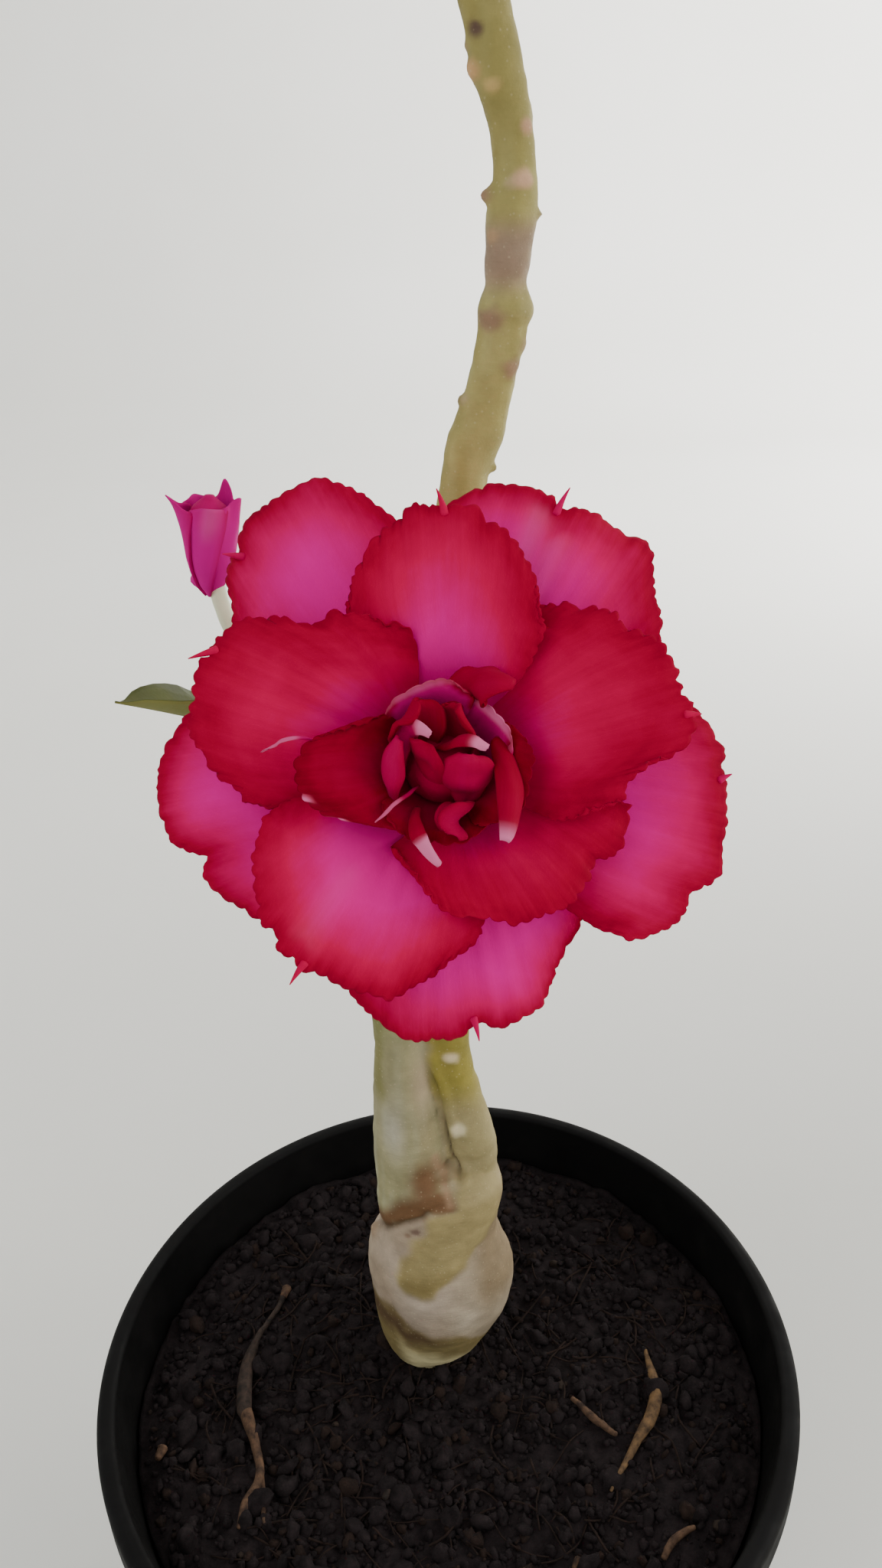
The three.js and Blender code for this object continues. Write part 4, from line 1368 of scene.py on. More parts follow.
    def petaloid_shape(self, petaloid: Petaloid, seed: int) -> Shape:
        """One narrow inner petal, cupped and twisted, with a pale tip where it has one.

        Args:
            petaloid: Its places, sizes and colour.
            seed: Picks its lumps.

        Returns:
            The closed shell.
        """
        rows, columns = 26, 17
        foot, shoulder, tip = np.array([petaloid.foot, petaloid.shoulder, petaloid.tip])
        u = np.linspace(0, 1, rows)[:, None]
        spine = foot * (1 - u) ** 2 + shoulder * 2 * u * (1 - u) + tip * u ** 2
        tangent = unit(np.gradient(spine, axis=0))
        facing = math.radians(petaloid.facing)
        outwards = np.array([math.cos(facing), math.sin(facing), petaloid.lift])
        across = unit(np.cross(tangent, outwards))
        normal = np.cross(across, tangent)
        s = np.linspace(-1, 1, columns)[None, :, None]
        wide = petaloid.width / 2 * (0.35 + 0.75 * np.sin(np.pi * u ** 0.9 * 0.82)) * (1 - 0.65 * u ** 5)
        wide = wide[..., None]
        middle = spine[:, None] + across[:, None] * wide * np.sin(s * 1.3)
        middle = middle - normal[:, None] * wide * (petaloid.curl * s ** 2)
        rough = noise(middle, 2.2, seed)[..., None]
        middle = middle + normal[:, None] * rough * 0.55
        middle = middle + tangent[:, None] * rough * 0.5 * (s ** 2 + u[:, None])
        along = np.broadcast_to(u, (rows, columns))
        rim = petaloid.heart * (1 - 0.6 * np.abs(s[..., 0]) ** 3) * np.ones((rows, columns))
        pallor = fade(petaloid.pale_from - 0.08, petaloid.pale_from + 0.06, along) * petaloid.paleness
        lay = np.stack([s[..., 0] * wide[..., 0] + 90 * seed, along * 12, 0 * along], axis=-1)
        half = min(0.26, 0.2 * petaloid.width)
        return shell(middle, np.full(along.shape, half), {"lay": lay, "rim": rim, "pallor": pallor})

    def build(self) -> None:
        """Makes the three whorls in place of their solids."""
        for ring, name in enumerate(WhorlName):
            whorl, shapes = WHORLS[name], []
            if whorl.tube:
                foot, top, inset, pallor = whorl.tube
                shapes.append(self.tube(self.tube_end + foot, self.tube_top + top, inset, pallor))
            for i, petal in enumerate(PETALS[name]):
                shapes.append(self.petal_shape(whorl, petal, 10 * ring + i + 1))
            if name is WhorlName.INNER:
                shapes += [self.petaloid_shape(one, 40 + i) for i, one in enumerate(self.petaloids)]
                shapes.append(self.plain(turned(np.array(self.core), 24), 0.25))
            joined = Shape.joined(shapes)
            joined.points = self.in_plant(joined.points)
            thing = joined.piece(f"{name.value}_petals", [whorl.finish.build()])
            place(thing, f"{name.value}_petal", f"{name.value}_corolla")


# Stations of the trunk: height over the mix, middle (x, y), half width and half depth
TRUNK = (
    (0, -4.3, 10, 8.2, 7.8), (3, -4.0, 10, 9.8, 9.2), (7, -2.6, 10, 12.4, 11.6), (13, -1.4, 10, 14.4, 13.4),
    (21, -0.5, 10, 15.7, 14.4), (28, -0.7, 10, 15.8, 14.2), (34, -1.6, 10, 14.4, 12.8),
    (38, -1.0, 10, 12.8, 11.4), (43, -0.3, 10, 12.6, 11.0), (50, 0.2, 10, 13.3, 10.6),
    (55, 0.3, 10, 12.4, 9.4), (57, 0.3, 10, 10.6, 7.8),
)
# Stations of the two stems: x, y, height over the mix and radius
LEFT_STEM = (
    (-5.4, 10, 46, 6.8), (-5.5, 10, 56, 7.6), (-5.4, 10, 63, 7.5), (-5.9, 10, 74, 6.5), (-6.3, 10, 88, 5.05),
    (-6.8, 9, 110, 4.9), (-7.2, 7, 130, 4.7), (-7.4, 5.4, 145, 4.3),
)
TALL_STEM = (
    (7.4, 10, 46, 5.2), (7.6, 10, 56, 5.2), (7.5, 10, 63, 4.9), (5.3, 10.4, 74, 4.2), (3.4, 11, 88, 4.15),
    (3.6, 11.6, 110, 4.3), (5.4, 12, 150, 4.2), (7.6, 12, 178, 3.95), (9.4, 12, 195, 3.75),
    (11.6, 12, 203, 3.9), (14.5, 12, 212.5, 3.35), (16.3, 12, 221, 3.45), (17.3, 12, 233, 3.5),
    (18, 12, 242, 3.2), (15.8, 12, 253, 3.3), (14, 12, 262, 3.5), (13.6, 12, 268, 3.5),
)


def over_soil(stations: Sequence[Sequence[float]]) -> Array:
    """Stations given over the mix, as rows in the plant's frame."""
    return np.array(stations, dtype=float) + np.array([0, 0, SOIL_LEVEL, 0])


def tilted(axis: Array, azimuth: float, from_axis: float) -> tuple[Array, Array]:
    """A direction at an angle from an axis and an azimuth round it, in degrees.

    Args:
        axis: The axis, of length one.
        azimuth: The turn round the axis.
        from_axis: The angle from the axis.

    Returns:
        The direction, and the direction that a leaf's upper face looks in.
    """
    side = unit(np.array([1.0, 0, 0]) - axis * axis[0])
    turn, lean = math.radians(azimuth), math.radians(from_axis)
    radial = side * math.cos(turn) + np.cross(axis, side) * math.sin(turn)
    return (axis * math.cos(lean) + radial * math.sin(lean),
            axis * math.sin(lean) - radial * math.cos(lean))


def distance_to_limb(points: Array, stations: Array) -> Array:
    """The distance from points to a limb's surface.

    Args:
        points: Places in millimetres.
        stations: x, y, z and radius of the limb, one row each.

    Returns:
        One distance for each point, below zero inside the limb.
    """
    nearest = np.full(len(points), np.inf)
    for a, b in zip(stations[:-1], stations[1:]):
        span = b[:3] - a[:3]
        share = np.clip((points - a[:3]) @ span / span.dot(span), 0, 1)
        foot = a[:3] + share[:, None] * span
        nearest = np.minimum(nearest, np.linalg.norm(points - foot, axis=1) - max(a[3], b[3]))
    return nearest


@dataclass
class CrownBranch:
    """One of the branches that leave the tall stem's tip: it leans out, then turns up."""

    index: int
    count: int = 3
    first_azimuth: float = 78.0
    lean: float = 40.0
    length: float = 52.0
    base_radius: float = 3.1
    tip_radius: float = 2.5
    sunk: float = 4.0
    offset: float = 1.6
    bend_at: float = 0.45
    out: float = 0.25
    up: float = 0.3

    def __post_init__(self) -> None:
        """Works out the branch's stations, tip and heading."""
        upright = np.array([0.0, 0.0, 1.0])
        azimuth = self.first_azimuth + self.index * 360 / self.count
        direction, _ = tilted(upright, azimuth, self.lean)
        outwards = unit(direction * np.array([1, 1, 0]))
        foot = over_soil(TALL_STEM)[-1, :3] + outwards * self.offset - upright * self.sunk
        bend = foot + direction * self.length * self.bend_at
        self.tip = bend + direction * self.length * self.out + upright * self.length * self.up
        self.axis = unit(self.tip - bend)
        radii = (self.base_radius, (self.base_radius + self.tip_radius) / 2, self.tip_radius)
        self.stations = np.column_stack([[foot, bend, self.tip], radii])


@dataclass(frozen=True)
class Mark:
    """A round mark on the bark: its place, radius, how proud it stands and its colour."""

    x: float
    over_soil: float
    radius: float
    proud: float
    colour: str


@dataclass
class GraftedTrunk:
    """The swollen trunk, the grafted stems fused into it, and the crown's branches, in one skin."""

    branches: Sequence[CrownBranch]
    voxel_mm: float = 0.5
    smoothing: int = 7
    sides: int = 72
    sunk: float = 2.5
    ground: str = "#978673"
    seed: int = 21
    # Lines in front view, as x and height over the mix: first the edge of the grafted tongue
    tongue: Line = (
        (-2.9, 50.3), (-3.6, 45.3), (-5.8, 42.1), (-8, 37.8), (-9.4, 34.2), (-9.2, 32.4), (-7.8, 31.1),
        (-4.5, 29.9), (-2.1, 30.4), (-0.5, 32.5), (1.9, 34.2), (4.9, 35.7), (7, 39.5), (9.1, 40.8),
        (10.4, 42.6), (11.8, 43.2), (13.4, 52), (12, 60), (5, 58), (2.6, 52.1),
    )
    foot_edge: Line = (
        (-18, 24.6), (-14.6, 24.2), (-13.1, 24.6), (-10.8, 25.4), (-8.3, 21.7), (-5.9, 20.6), (-3.5, 19.9),
        (-0.6, 19), (2.3, 18.2), (5.3, 16.5), (8.4, 14), (12, 8), (16, 2),
    )
    crevice: Line = (
        (-1.2, 84.5), (-0.5, 81.8), (0.6, 78.5), (1.4, 73.9), (2, 68.1), (2.5, 64.6), (3, 61.3),
        (3.6, 58.9), (4.5, 57.4),
    )
    shelf: Line = ((-14.5, 38), (-13.1, 40.3), (-10.1, 44.7), (-7.5, 47.4), (-3.6, 49.5), (-2.5, 50.8))
    blush_strip: Line = ((-0.3, 62), (0.2, 59.4), (1.4, 57), (2.4, 52.8))
    # Where the two stems have grown together: stations like the stems' own
    seam: Route = (
        (3.8, 8.6, 60, 2.6), (3.2, 8.6, 68, 2.6), (2.6, 8.6, 74, 2.6), (0.9, 9, 82, 2.5),
        (0.1, 9.3, 88, 2.4), (0, 9.8, 100, 2.3), (0.1, 10.4, 112, 2),
    )
    # Where the tall stem swells or narrows: height over the mix, how proud, and half width
    joints: tuple[Triple, ...] = ((203, 0.25, 3), (221.5, 0.4, 2.2), (234, 0.35, 2.4), (225.5, -0.45, 1.6))
    marks: tuple[Mark, ...] = (
        Mark(3.6, 85.9, 1.6, 0.35, "#D0BE9A"), Mark(4.5, 67.6, 1.7, 0.4, "#D2C6A2"),
        Mark(-15.2, 38, 1.7, 1.8, "#86705A"),
        Mark(-5, 45.6, 1, -0.15, "#6E564C"), Mark(-7, 44.4, 0.8, -0.15, "#77604F"),
        Mark(14.3, 236.8, 1.2, 1.6, "#8C6A5A"), Mark(19.2, 238.9, 1.5, 0.4, "#C79C80"),
        Mark(19.8, 245.4, 1.2, 0.45, "#B98E72"), Mark(12.5, 256.5, 1.3, -0.9, "#4A3038"),
        Mark(12.6, 252.2, 1.6, 0.8, "#C09468"), Mark(15.1, 250.1, 1.2, 0.4, "#B79A62"),
        Mark(14.6, 232, 1.3, 0.3, "#A98A68"), Mark(21, 234, 0.6, 0.8, "#7E6A45"),
        Mark(9.4, 209.4, 0.8, 0.7, "#857548"), Mark(15, 198.7, 0.8, 1, "#857548"),
        Mark(17.3, 213.6, 1.6, 0.5, "#8F6F58"), Mark(14.1, 220.7, 1.9, 0.3, "#8A6C5A"),
        Mark(19.6, 221.4, 1.9, 0.7, "#9A8F5C"),
    )
    mark_shape: Triple = (0.95, 0.95, 1.15)
    # Marks over this height lie on the tall stem
    fork: float = 57.0
    scar_spacing: float = 9.5

    def rough_body(self) -> Thing:
        """Joins the trunk, stems and branches into one smooth closed skin.

        Returns:
            The joined piece, without its marks.
        """
        rows = curve_through(np.array(TRUNK, dtype=float), 90)
        height, x, y, half_width, half_depth = (column[:, None] for column in rows.T)
        angle = corners(self.sides)
        ridge = 1 + 0.02 * np.sin(3 * angle + height * 0.06)
        x, y = x + half_width * ridge * np.cos(angle), y + half_depth * ridge * np.sin(angle)
        points = np.stack(np.broadcast_arrays(x, y, SOIL_LEVEL + height), axis=-1)
        points[0, :, 2] -= self.sunk
        shapes = [
            closed_tube(points), limb(over_soil(LEFT_STEM), 48, 160),
            limb(over_soil(TALL_STEM), 48, 320), limb(over_soil(self.seam), 32, 60),
            *(limb(branch.stations, 36, 60) for branch in self.branches),
        ]
        thing = Shape.joined(shapes).piece("grafted_trunk", [])
        skin = thing.modifiers.new("skin", "REMESH")
        skin.mode = "VOXEL"
        skin.voxel_size = self.voxel_mm * METRE
        skin.use_smooth_shade = True
        even = thing.modifiers.new("even", "SMOOTH")
        even.factor = 0.5
        even.iterations = self.smoothing
        return applied(thing)

    @staticmethod
    def line_distance(points: Array, line: Line) -> Array:
        """The distance in front view from each point to a line of x and height over the mix."""
        front = np.stack([points[:, 0], 0 * points[:, 0], points[:, 2] - SOIL_LEVEL], axis=-1)
        return distance_to_limb(front, np.array([(x, 0.0, h, 0.0) for x, h in line]))

    def inside_tongue(self, points: Array) -> Array:
        """The distance in front view to the tongue's edge.

        Args:
            points: Places in millimetres.

        Returns:
            One distance for each point, above zero inside the tongue.
        """
        x, h = points[:, 0], points[:, 2] - SOIL_LEVEL
        inside = np.zeros(len(points), dtype=bool)
        corner = np.array(self.tongue)
        for (x0, h0), (x1, h1) in zip(corner, np.roll(corner, -1, axis=0)):
            inside ^= ((h0 > h) != (h1 > h)) & (x < (x1 - x0) * (h - h0) / (h1 - h0 + 1e-9) + x0)
        away = self.line_distance(points, (*self.tongue, self.tongue[0]))
        return np.where(inside, away, -away)

    def spots(self, points: Array) -> list[Spot]:
        """The leaf scars that climb both stems in a spiral, and the marks on the skin's front.

        Args:
            points: Places on the skin in millimetres.

        Returns:
            The scars first, then the marks.
        """
        rng = np.random.default_rng(self.seed)
        found = []
        for stations, low in ((over_soil(TALL_STEM), 95), (over_soil(LEFT_STEM), 92)):
            rows = curve_through(stations, 60 * len(stations))
            rows = rows[rows[:, 2] > SOIL_LEVEL + low]
            steps = np.arange(SOIL_LEVEL + low, rows[-1, 2] - 5, self.scar_spacing)
            for k, z in enumerate(steps):
                row = rows[np.argmin(np.abs(rows[:, 2] - z - rng.uniform(-2, 2)))]
                turn = math.radians(GOLDEN_ANGLE * k + rng.uniform(-15, 15))
                at = row[:3] + polar(row[3], turn, 0.0)
                colour = linear(rng.choice(["#A99870", "#B8946E", "#94805A"]))[:3]
                found.append((at, rng.uniform(0.9, 1.5), rng.uniform(0.3, 0.8), colour))
        on_tall_stem = distance_to_limb(points, over_soil(TALL_STEM)) < 6
        for mark in self.marks:
            z = mark.over_soil + SOIL_LEVEL
            near = (np.abs(points[:, 2] - z) < 3) & (on_tall_stem | (mark.over_soil < self.fork))
            beside = (points[:, 0] - mark.x) ** 2 + (points[:, 2] - z) ** 2 + 0.05 * points[:, 1]
            at = points[np.argmin(np.where(near, beside, np.inf))]
            found.append((at, mark.radius, mark.proud, linear(mark.colour)[:3]))
        return found

    def zones(self, points: Array) -> list[tuple[str, Array]]:
        """The colours over the bark's ground colour, each over the last, painted light and shade among them.

        Args:
            points: Places on the skin in millimetres.

        Returns:
            Each sRGB hex colour with its share at each point.
        """
        x, h = points[:, 0], points[:, 2] - SOIL_LEVEL
        front, shelf_front = fade(11, 7, points[:, 1]), fade(12, 8, points[:, 1])
        cloud, fine = noise(points, 8, 31), noise(points, 3, 32)
        streak = noise(points * np.array([1, 1, 0.14]), 1.6, 33)
        under = np.interp(x, *np.array(self.foot_edge).T) - h + 1.2 * fine
        deeper = fade(-4, -9, x)
        band = hump(under, 1.6 + 2.2 * deeper, 1.9 + 1.9 * deeper)
        tongue = self.inside_tongue(points)
        to_left, to_tall, to_seam = (
            distance_to_limb(points, over_soil(one)) for one in (LEFT_STEM, TALL_STEM, self.seam)
        )
        over_shelf = h - np.interp(x, *np.array(self.shelf).T) + 0.5 * fine
        above = fade(-0.4, 0.5, over_shelf) * fade(44, 50, h + 2 * (x < -6) + 4 * (x < -10))
        nearer = fade(1.6, -1.6, to_left - np.minimum(to_tall, to_seam) + 0.8 * fine)
        left, tall = nearer * above, (1 - nearer) * fade(50, 62, h)
        shadow = np.exp(-(((x + 2.6) / 3.5) ** 2 + ((h - 56.8) / 5.4) ** 2) ** 1.5)
        shadow = np.maximum(shadow, fade(7, 3, over_shelf + 1.5 * cloud))
        patch = np.exp(-((h - 229) / 4.6) ** 4) * fade(-0.6, 0.3, cloud + 0.4)
        open_part = fade(72, 68, h) + 0.6 * hump(h, 79.5, 1.8)
        strip, crack, ledge = (
            self.line_distance(points, line) for line in (self.blush_strip, self.crevice, self.shelf)
        )
        return [
            # The swollen trunk and its foot, with a dark band just under the foot's upper edge on its left
            # side, and a painted pool of light low on the foot's left
            ("#A59686", 0.45 + 0.9 * cloud),
            ("#91836C", fade(-2, 6, x) * 0.7),
            ("#7C6B52", fade(5, 10, x) * fade(20, 28, h) * 0.9),
            ("#B3A592", hump(x, 4.6, 4.0) * hump(h, 22.5, 4.5) * 0.7),
            ("#7C6D48", fade(-1.3, 1.3, under)),
            ("#4C382A", band * 0.85 * fade(3, -6, x)),
            # Painted light: a pale pool low on the foot's left that offsets the shade near the mix
            ("#E0D2A2", fade(6, 12, under) * 0.95 * fade(-11.5, -6.5, x)),
            # The grafted tongue
            ("#92835A", fade(-1.3, 1.3, tongue + 0.9 * fine) * front),
            ("#72643E", fade(0, 2, tongue) * front * fade(38, 32, h)),
            # Painted shadow: a dark line along the inside of the tongue's edge, low on the tongue
            ("#7C6D45", hump(tongue, 0.9, 1.0) * 0.45 * front * fade(44, 34, h)),
            # The left stem
            ("#8B8563", left),
            # Painted highlights on the left stem: pale streaks that fade upwards, and a pale patch low on its
            # left side
            ("#9C9A80", left * (0.15 + 0.6 * streak) * fade(110, 66, h)),
            ("#AAA493", left * hump(x, -8.4, 2.2) * hump(h, 70, 6.5) * 0.8),
            ("#98876D", left * hump(x, -2.2, 2.2) * hump(h, 80, 7) * 0.9),
            ("#857857", left * hump(x, -1.6, 2.0) * hump(h, 68, 6) * 0.7),
            ("#747044", left * fade(-8.6, -10.4, x + 0.5 * fine) * fade(74, 80, h)),
            ("#7F8A52", left * fade(88, 106, h) * 0.6),
            ("#674B33", left * shadow),
            # The tall stem
            ("#90845D", tall),
            # Painted highlight: a pale band across the tall stem's right side at 51 mm over the mix
            ("#BDB094", tall * hump(h, 51, 2.8) * fade(2, 8, x)),
            ("#857A56", tall * hump(h, 58.5, 2.6) * fade(2, 6, x) * 0.6),
            ("#95795F", hump(strip, 0, 0.9) * 0.8 * front),
            ("#857A38", tall * fade(70, 80, h + 2.5 * cloud)),
            ("#958B52", tall * fade(150, 190, h)),
            # Painted highlights: pale streaks up the tall stem from about 90 mm over the mix
            ("#A39A62", tall * (0.3 + 0.8 * streak) * fade(88, 110, h)),
            ("#7A6E3C", tall * fade(232, 250, h + 4 * cloud) * 0.5),
            ("#8A7265", tall * patch * 0.85),
            # The crown, the painted shade in the crevice between the stems, and the shelf's shadow
            ("#8A9246", fade(268, 300, h)),
            ("#7E9048", fade(290, 312, h)),
            # Painted shade: a dark line along the crevice between the stems, strongest where it opens
            ("#3F3226", hump(crack, -0.05, 0.34) * front * (0.08 + 0.8 * open_part)),
            ("#4C3B2C", hump(ledge, 0, 0.55) * shelf_front * 0.7),
        ]

    def relief(self, points: Array) -> Array:
        """How far the skin stands out.

        Args:
            points: Places on the skin in millimetres.

        Returns:
            Millimetres, one number for each point.
        """
        x, h = points[:, 0], points[:, 2] - SOIL_LEVEL
        front, shelf_front = fade(11, 7, points[:, 1]), fade(12, 8, points[:, 1])
        rise = 0.3 * noise(points, 9, 41) + 0.14 * noise(points, 3.2, 42)
        rise += 0.06 * noise(points, 1.3, 43)
        rise += 0.07 * noise(points * np.array([0.3, 0.3, 1]), 1.5, 44)
        tongue = self.inside_tongue(points)
        rise += (0.5 * fade(-1.6, 1.6, tongue) - 0.2 * hump(tongue, -0.9, 0.9)) * front
        crack = self.line_distance(points, self.crevice)
        rise += (0.3 * hump(crack, 1.6, 0.9) - 0.7 * hump(crack, 0, 0.45)) * front * fade(86, 78, h)
        rise -= 0.8 * hump(self.line_distance(points, self.shelf), 0, 0.7) * shelf_front
        rise += 0.45 * hump(h, 53.5, 2.0) * fade(1, -4, x) * front
        for height, proud, width in self.joints:
            rise += proud * hump(h, height, width)
        return rise

    def build(self) -> None:
        """Makes the trunk, stems and branches in place of their solids."""
        thing = self.rough_body()
        mesh = thing.data
        points, normals = np.empty((2, len(mesh.vertices), 3), dtype=np.float32)
        mesh.vertices.foreach_get("co", points.ravel())
        mesh.vertex_normals.foreach_get("vector", normals.ravel())
        points = points.astype(float) / METRE
        skin = np.tile(linear(self.ground)[:3], (len(points), 1))
        for colour, share in self.zones(points):
            skin += (linear(colour)[:3] - skin) * np.clip(share, 0, 1)[:, None]
        rise = self.relief(points)
        uneven = 1 + 0.3 * noise(points, 1.4, 46)
        for at, radius, proud, colour in self.spots(points):
            away = np.linalg.norm((points - at) * self.mark_shape, axis=1) / radius * uneven
            rise += proud * hump(away, 0, 1) - 0.25 * min(proud, 0.6) * hump(away, 0, 0.35)
            skin += (colour - skin) * np.exp(-away ** 4)[:, None] * 0.85
        points += normals * rise[:, None]
        mesh.vertices.foreach_set("co", (points * METRE).astype(np.float32).ravel())
        layer = mesh.attributes.new("skin", "FLOAT_VECTOR", "POINT")
        layer.data.foreach_set("vector", skin.astype(np.float32).ravel())
        mesh.update()
        mesh.materials.append(FleshyBark().build())
        branches = (f"crown_branch_{branch.index + 1}" for branch in self.branches)
        place(thing, "trunk_bark", "trunk", "left_stem", "tall_stem", *branches)


class SeededDraws:
    """Repeatable random numbers between 0 and 1, drawn as the plant's solids draw them."""

    def __init__(self, seed: int) -> None:
        """Starts from a seed."""
        self.state = seed

    def draw(self) -> float:
        """Draws the next number.

        Returns:
            A number from 0 to 1.
        """
        word = 0xFFFFFFFF
        self.state = (self.state + 0x6D2B79F5) & word
        mixed = ((self.state ^ (self.state >> 15)) * (1 | self.state)) & word
        mixed = ((mixed + (((mixed ^ (mixed >> 7)) * (61 | mixed)) & word)) ^ mixed) & word
        return (mixed ^ (mixed >> 14)) / 4294967296


class LeafTone(Enum):
    """The finish numbers of a leaf's faces."""

    MATURE = 0
    DEEP = 1
    YOUNG = 2
    UNDERSIDE = 3
    MIDRIB = 4


@dataclass(frozen=True)
class LeafSeat:
    """Where a leaf leaves its twig, its direction there, where its upper face looks, and its length."""

    root: Array
    direction: Array
    face: Array
    length: float

    def placed(self, local: Array) -> Array:
        """Puts points along and across a leaf, and over it, on its seat."""
        return local @ np.array([self.direction, np.cross(self.face, self.direction), self.face]) + self.root


@dataclass(frozen=True)
class LeafRule:
    """The outline and bend of a leaf: widest past its middle, folded along its rib, arched over."""

    slimness: float = 0.34
    arch: float = 0.16
    fold: float = 0.22
    stalk_width: float = 1.2
    thickness: float = 0.5
    vein_mm: float = 4.2

    def half_width(self, u: Array, length: float) -> Array:
        """Half the leaf's width at shares of its length."""
        blade = length * self.slimness / 2 * np.maximum(np.sin(np.pi * u ** 1.6), 0) ** 0.85
        return np.maximum(blade, self.stalk_width / 2 * (1 - 0.6 * u))

    def outline(self, seat: LeafSeat) -> Array:
        """The leaf's edges and rib at a few stops, to test its room.

        Args:
            seat: Where it sits, and its length.

        Returns:
            Places in millimetres, one row each.
        """
        length, u = seat.length, np.array([0, 0.25, 0.55, 0.82, 1.0])
        wide = self.half_width(u, length)
        drop = -self.arch * length * u * u
        return seat.placed(np.vstack([
            np.stack([u * length, side * wide, drop + abs(side) * self.fold * wide], axis=-1)
            for side in (1, -1, 0)
        ]))

    def shape(self, seat: LeafSeat, tone: LeafTone, seed: int) -> Shape:
        """One leaf as a closed blade with its rib and side veins.

        Args:
            seat: Where it sits, and its length.
            tone: The finish of its upper face.
            seed: Picks its waves.

        Returns:
            The leaf, with a finish number for each face.
        """
        length = seat.length
        u = np.concatenate([np.linspace(0, 0.9, 19), [0.935, 0.965, 0.985, 0.996, 1.0]])[:, None]
        v = np.array([[-1, -0.72, -0.38, -0.06, 0.06, 0.38, 0.72, 1.0]])
        wide = self.half_width(u, length) * (1 - 0.9 * fade(0.9, 1.0, u) ** 2)
        drop = -self.arch * length * u * u
        lift = self.fold * wide * np.abs(v) ** 1.3
        wave = 0.05 * wide * np.sin(2 * np.pi * (2.2 * u + 0.13 * seed)) * np.sign(v) * v ** 2
        ribs = 0.13 * np.cos(2 * np.pi * (u * length - 0.9 * np.abs(v) * wide) / self.vein_mm)
        bend = 0.03 * length * math.sin(seed * 1.7) * u ** 2
        height = drop + lift + 2.2 * wave + ribs * np.minimum(wide / 3, 1) * (np.abs(v) > 0.1)
        local = np.stack(np.broadcast_arrays(u * length, v * wide + bend, height), axis=-1)
        rib = np.where(np.abs(v) < 0.1, 1.9, 1.0) * (1 - 0.6 * u)
        half = np.broadcast_to(self.thickness / 2 * rib * (1 - 0.6 * np.abs(v) ** 3), local.shape[:2])
        blade = shell(seat.placed(local), half, {})
        faces = np.full((2, len(u) - 1, v.size - 1), tone.value)
        faces[1] = LeafTone.UNDERSIDE.value
        faces[:, :, v.size // 2 - 1] = LeafTone.MIDRIB.value
        rim = np.full(len(blade.faces) - faces.size, tone.value)
        blade.finishes = np.concatenate([faces.ravel(), rim])
        return blade


@dataclass(frozen=True)
class MassSize:
    """The sizes and counts of one mass's twigs and leaves, and the radius of its room."""

    twig: float
    side_twigs: int
    side_twig: float
    leaves: int
    side_leaves: int
    leaf: float
    reach: float


@dataclass
class Room:
    """The space that a mass may fill: a ball that walls cut off and that keeps clear of limbs."""

    centre: Array
    reach: float
    clear: float
    limbs: Sequence[Array]
    # A place on each wall, and the direction that it faces away in
    walls: Sequence[tuple[Array, Array]] = ()

    def holds(self, points: Array) -> bool:
        """Tests whether points lie in the room.

        Args:
            points: Places in millimetres.

        Returns:
            True if none lies outside.
        """
        fits = np.linalg.norm(points - self.centre, axis=1) <= self.reach
        for at, away in self.walls:
            fits &= (points - at) @ away < -self.clear / 2
        for stations in self.limbs:
            fits &= distance_to_limb(points, stations) > self.clear
        return bool(fits.all())


@dataclass(frozen=True)
class Twig:
    """A straight twig, and the count and length of the leaves that climb it."""

    foot: Array
    axis: Array
    length: float
    radius: float
    leaves: int
    leaf: float

    def at(self, share: float | Array) -> Array:
        """The place at a share of its length."""
        return self.foot + self.axis * self.length * share


def between(ends: Pair, step: float, steps: float = 1) -> float:
    """The value so many steps along from the first end to the last."""
    return ends[0] + (ends[1] - ends[0]) * step / steps


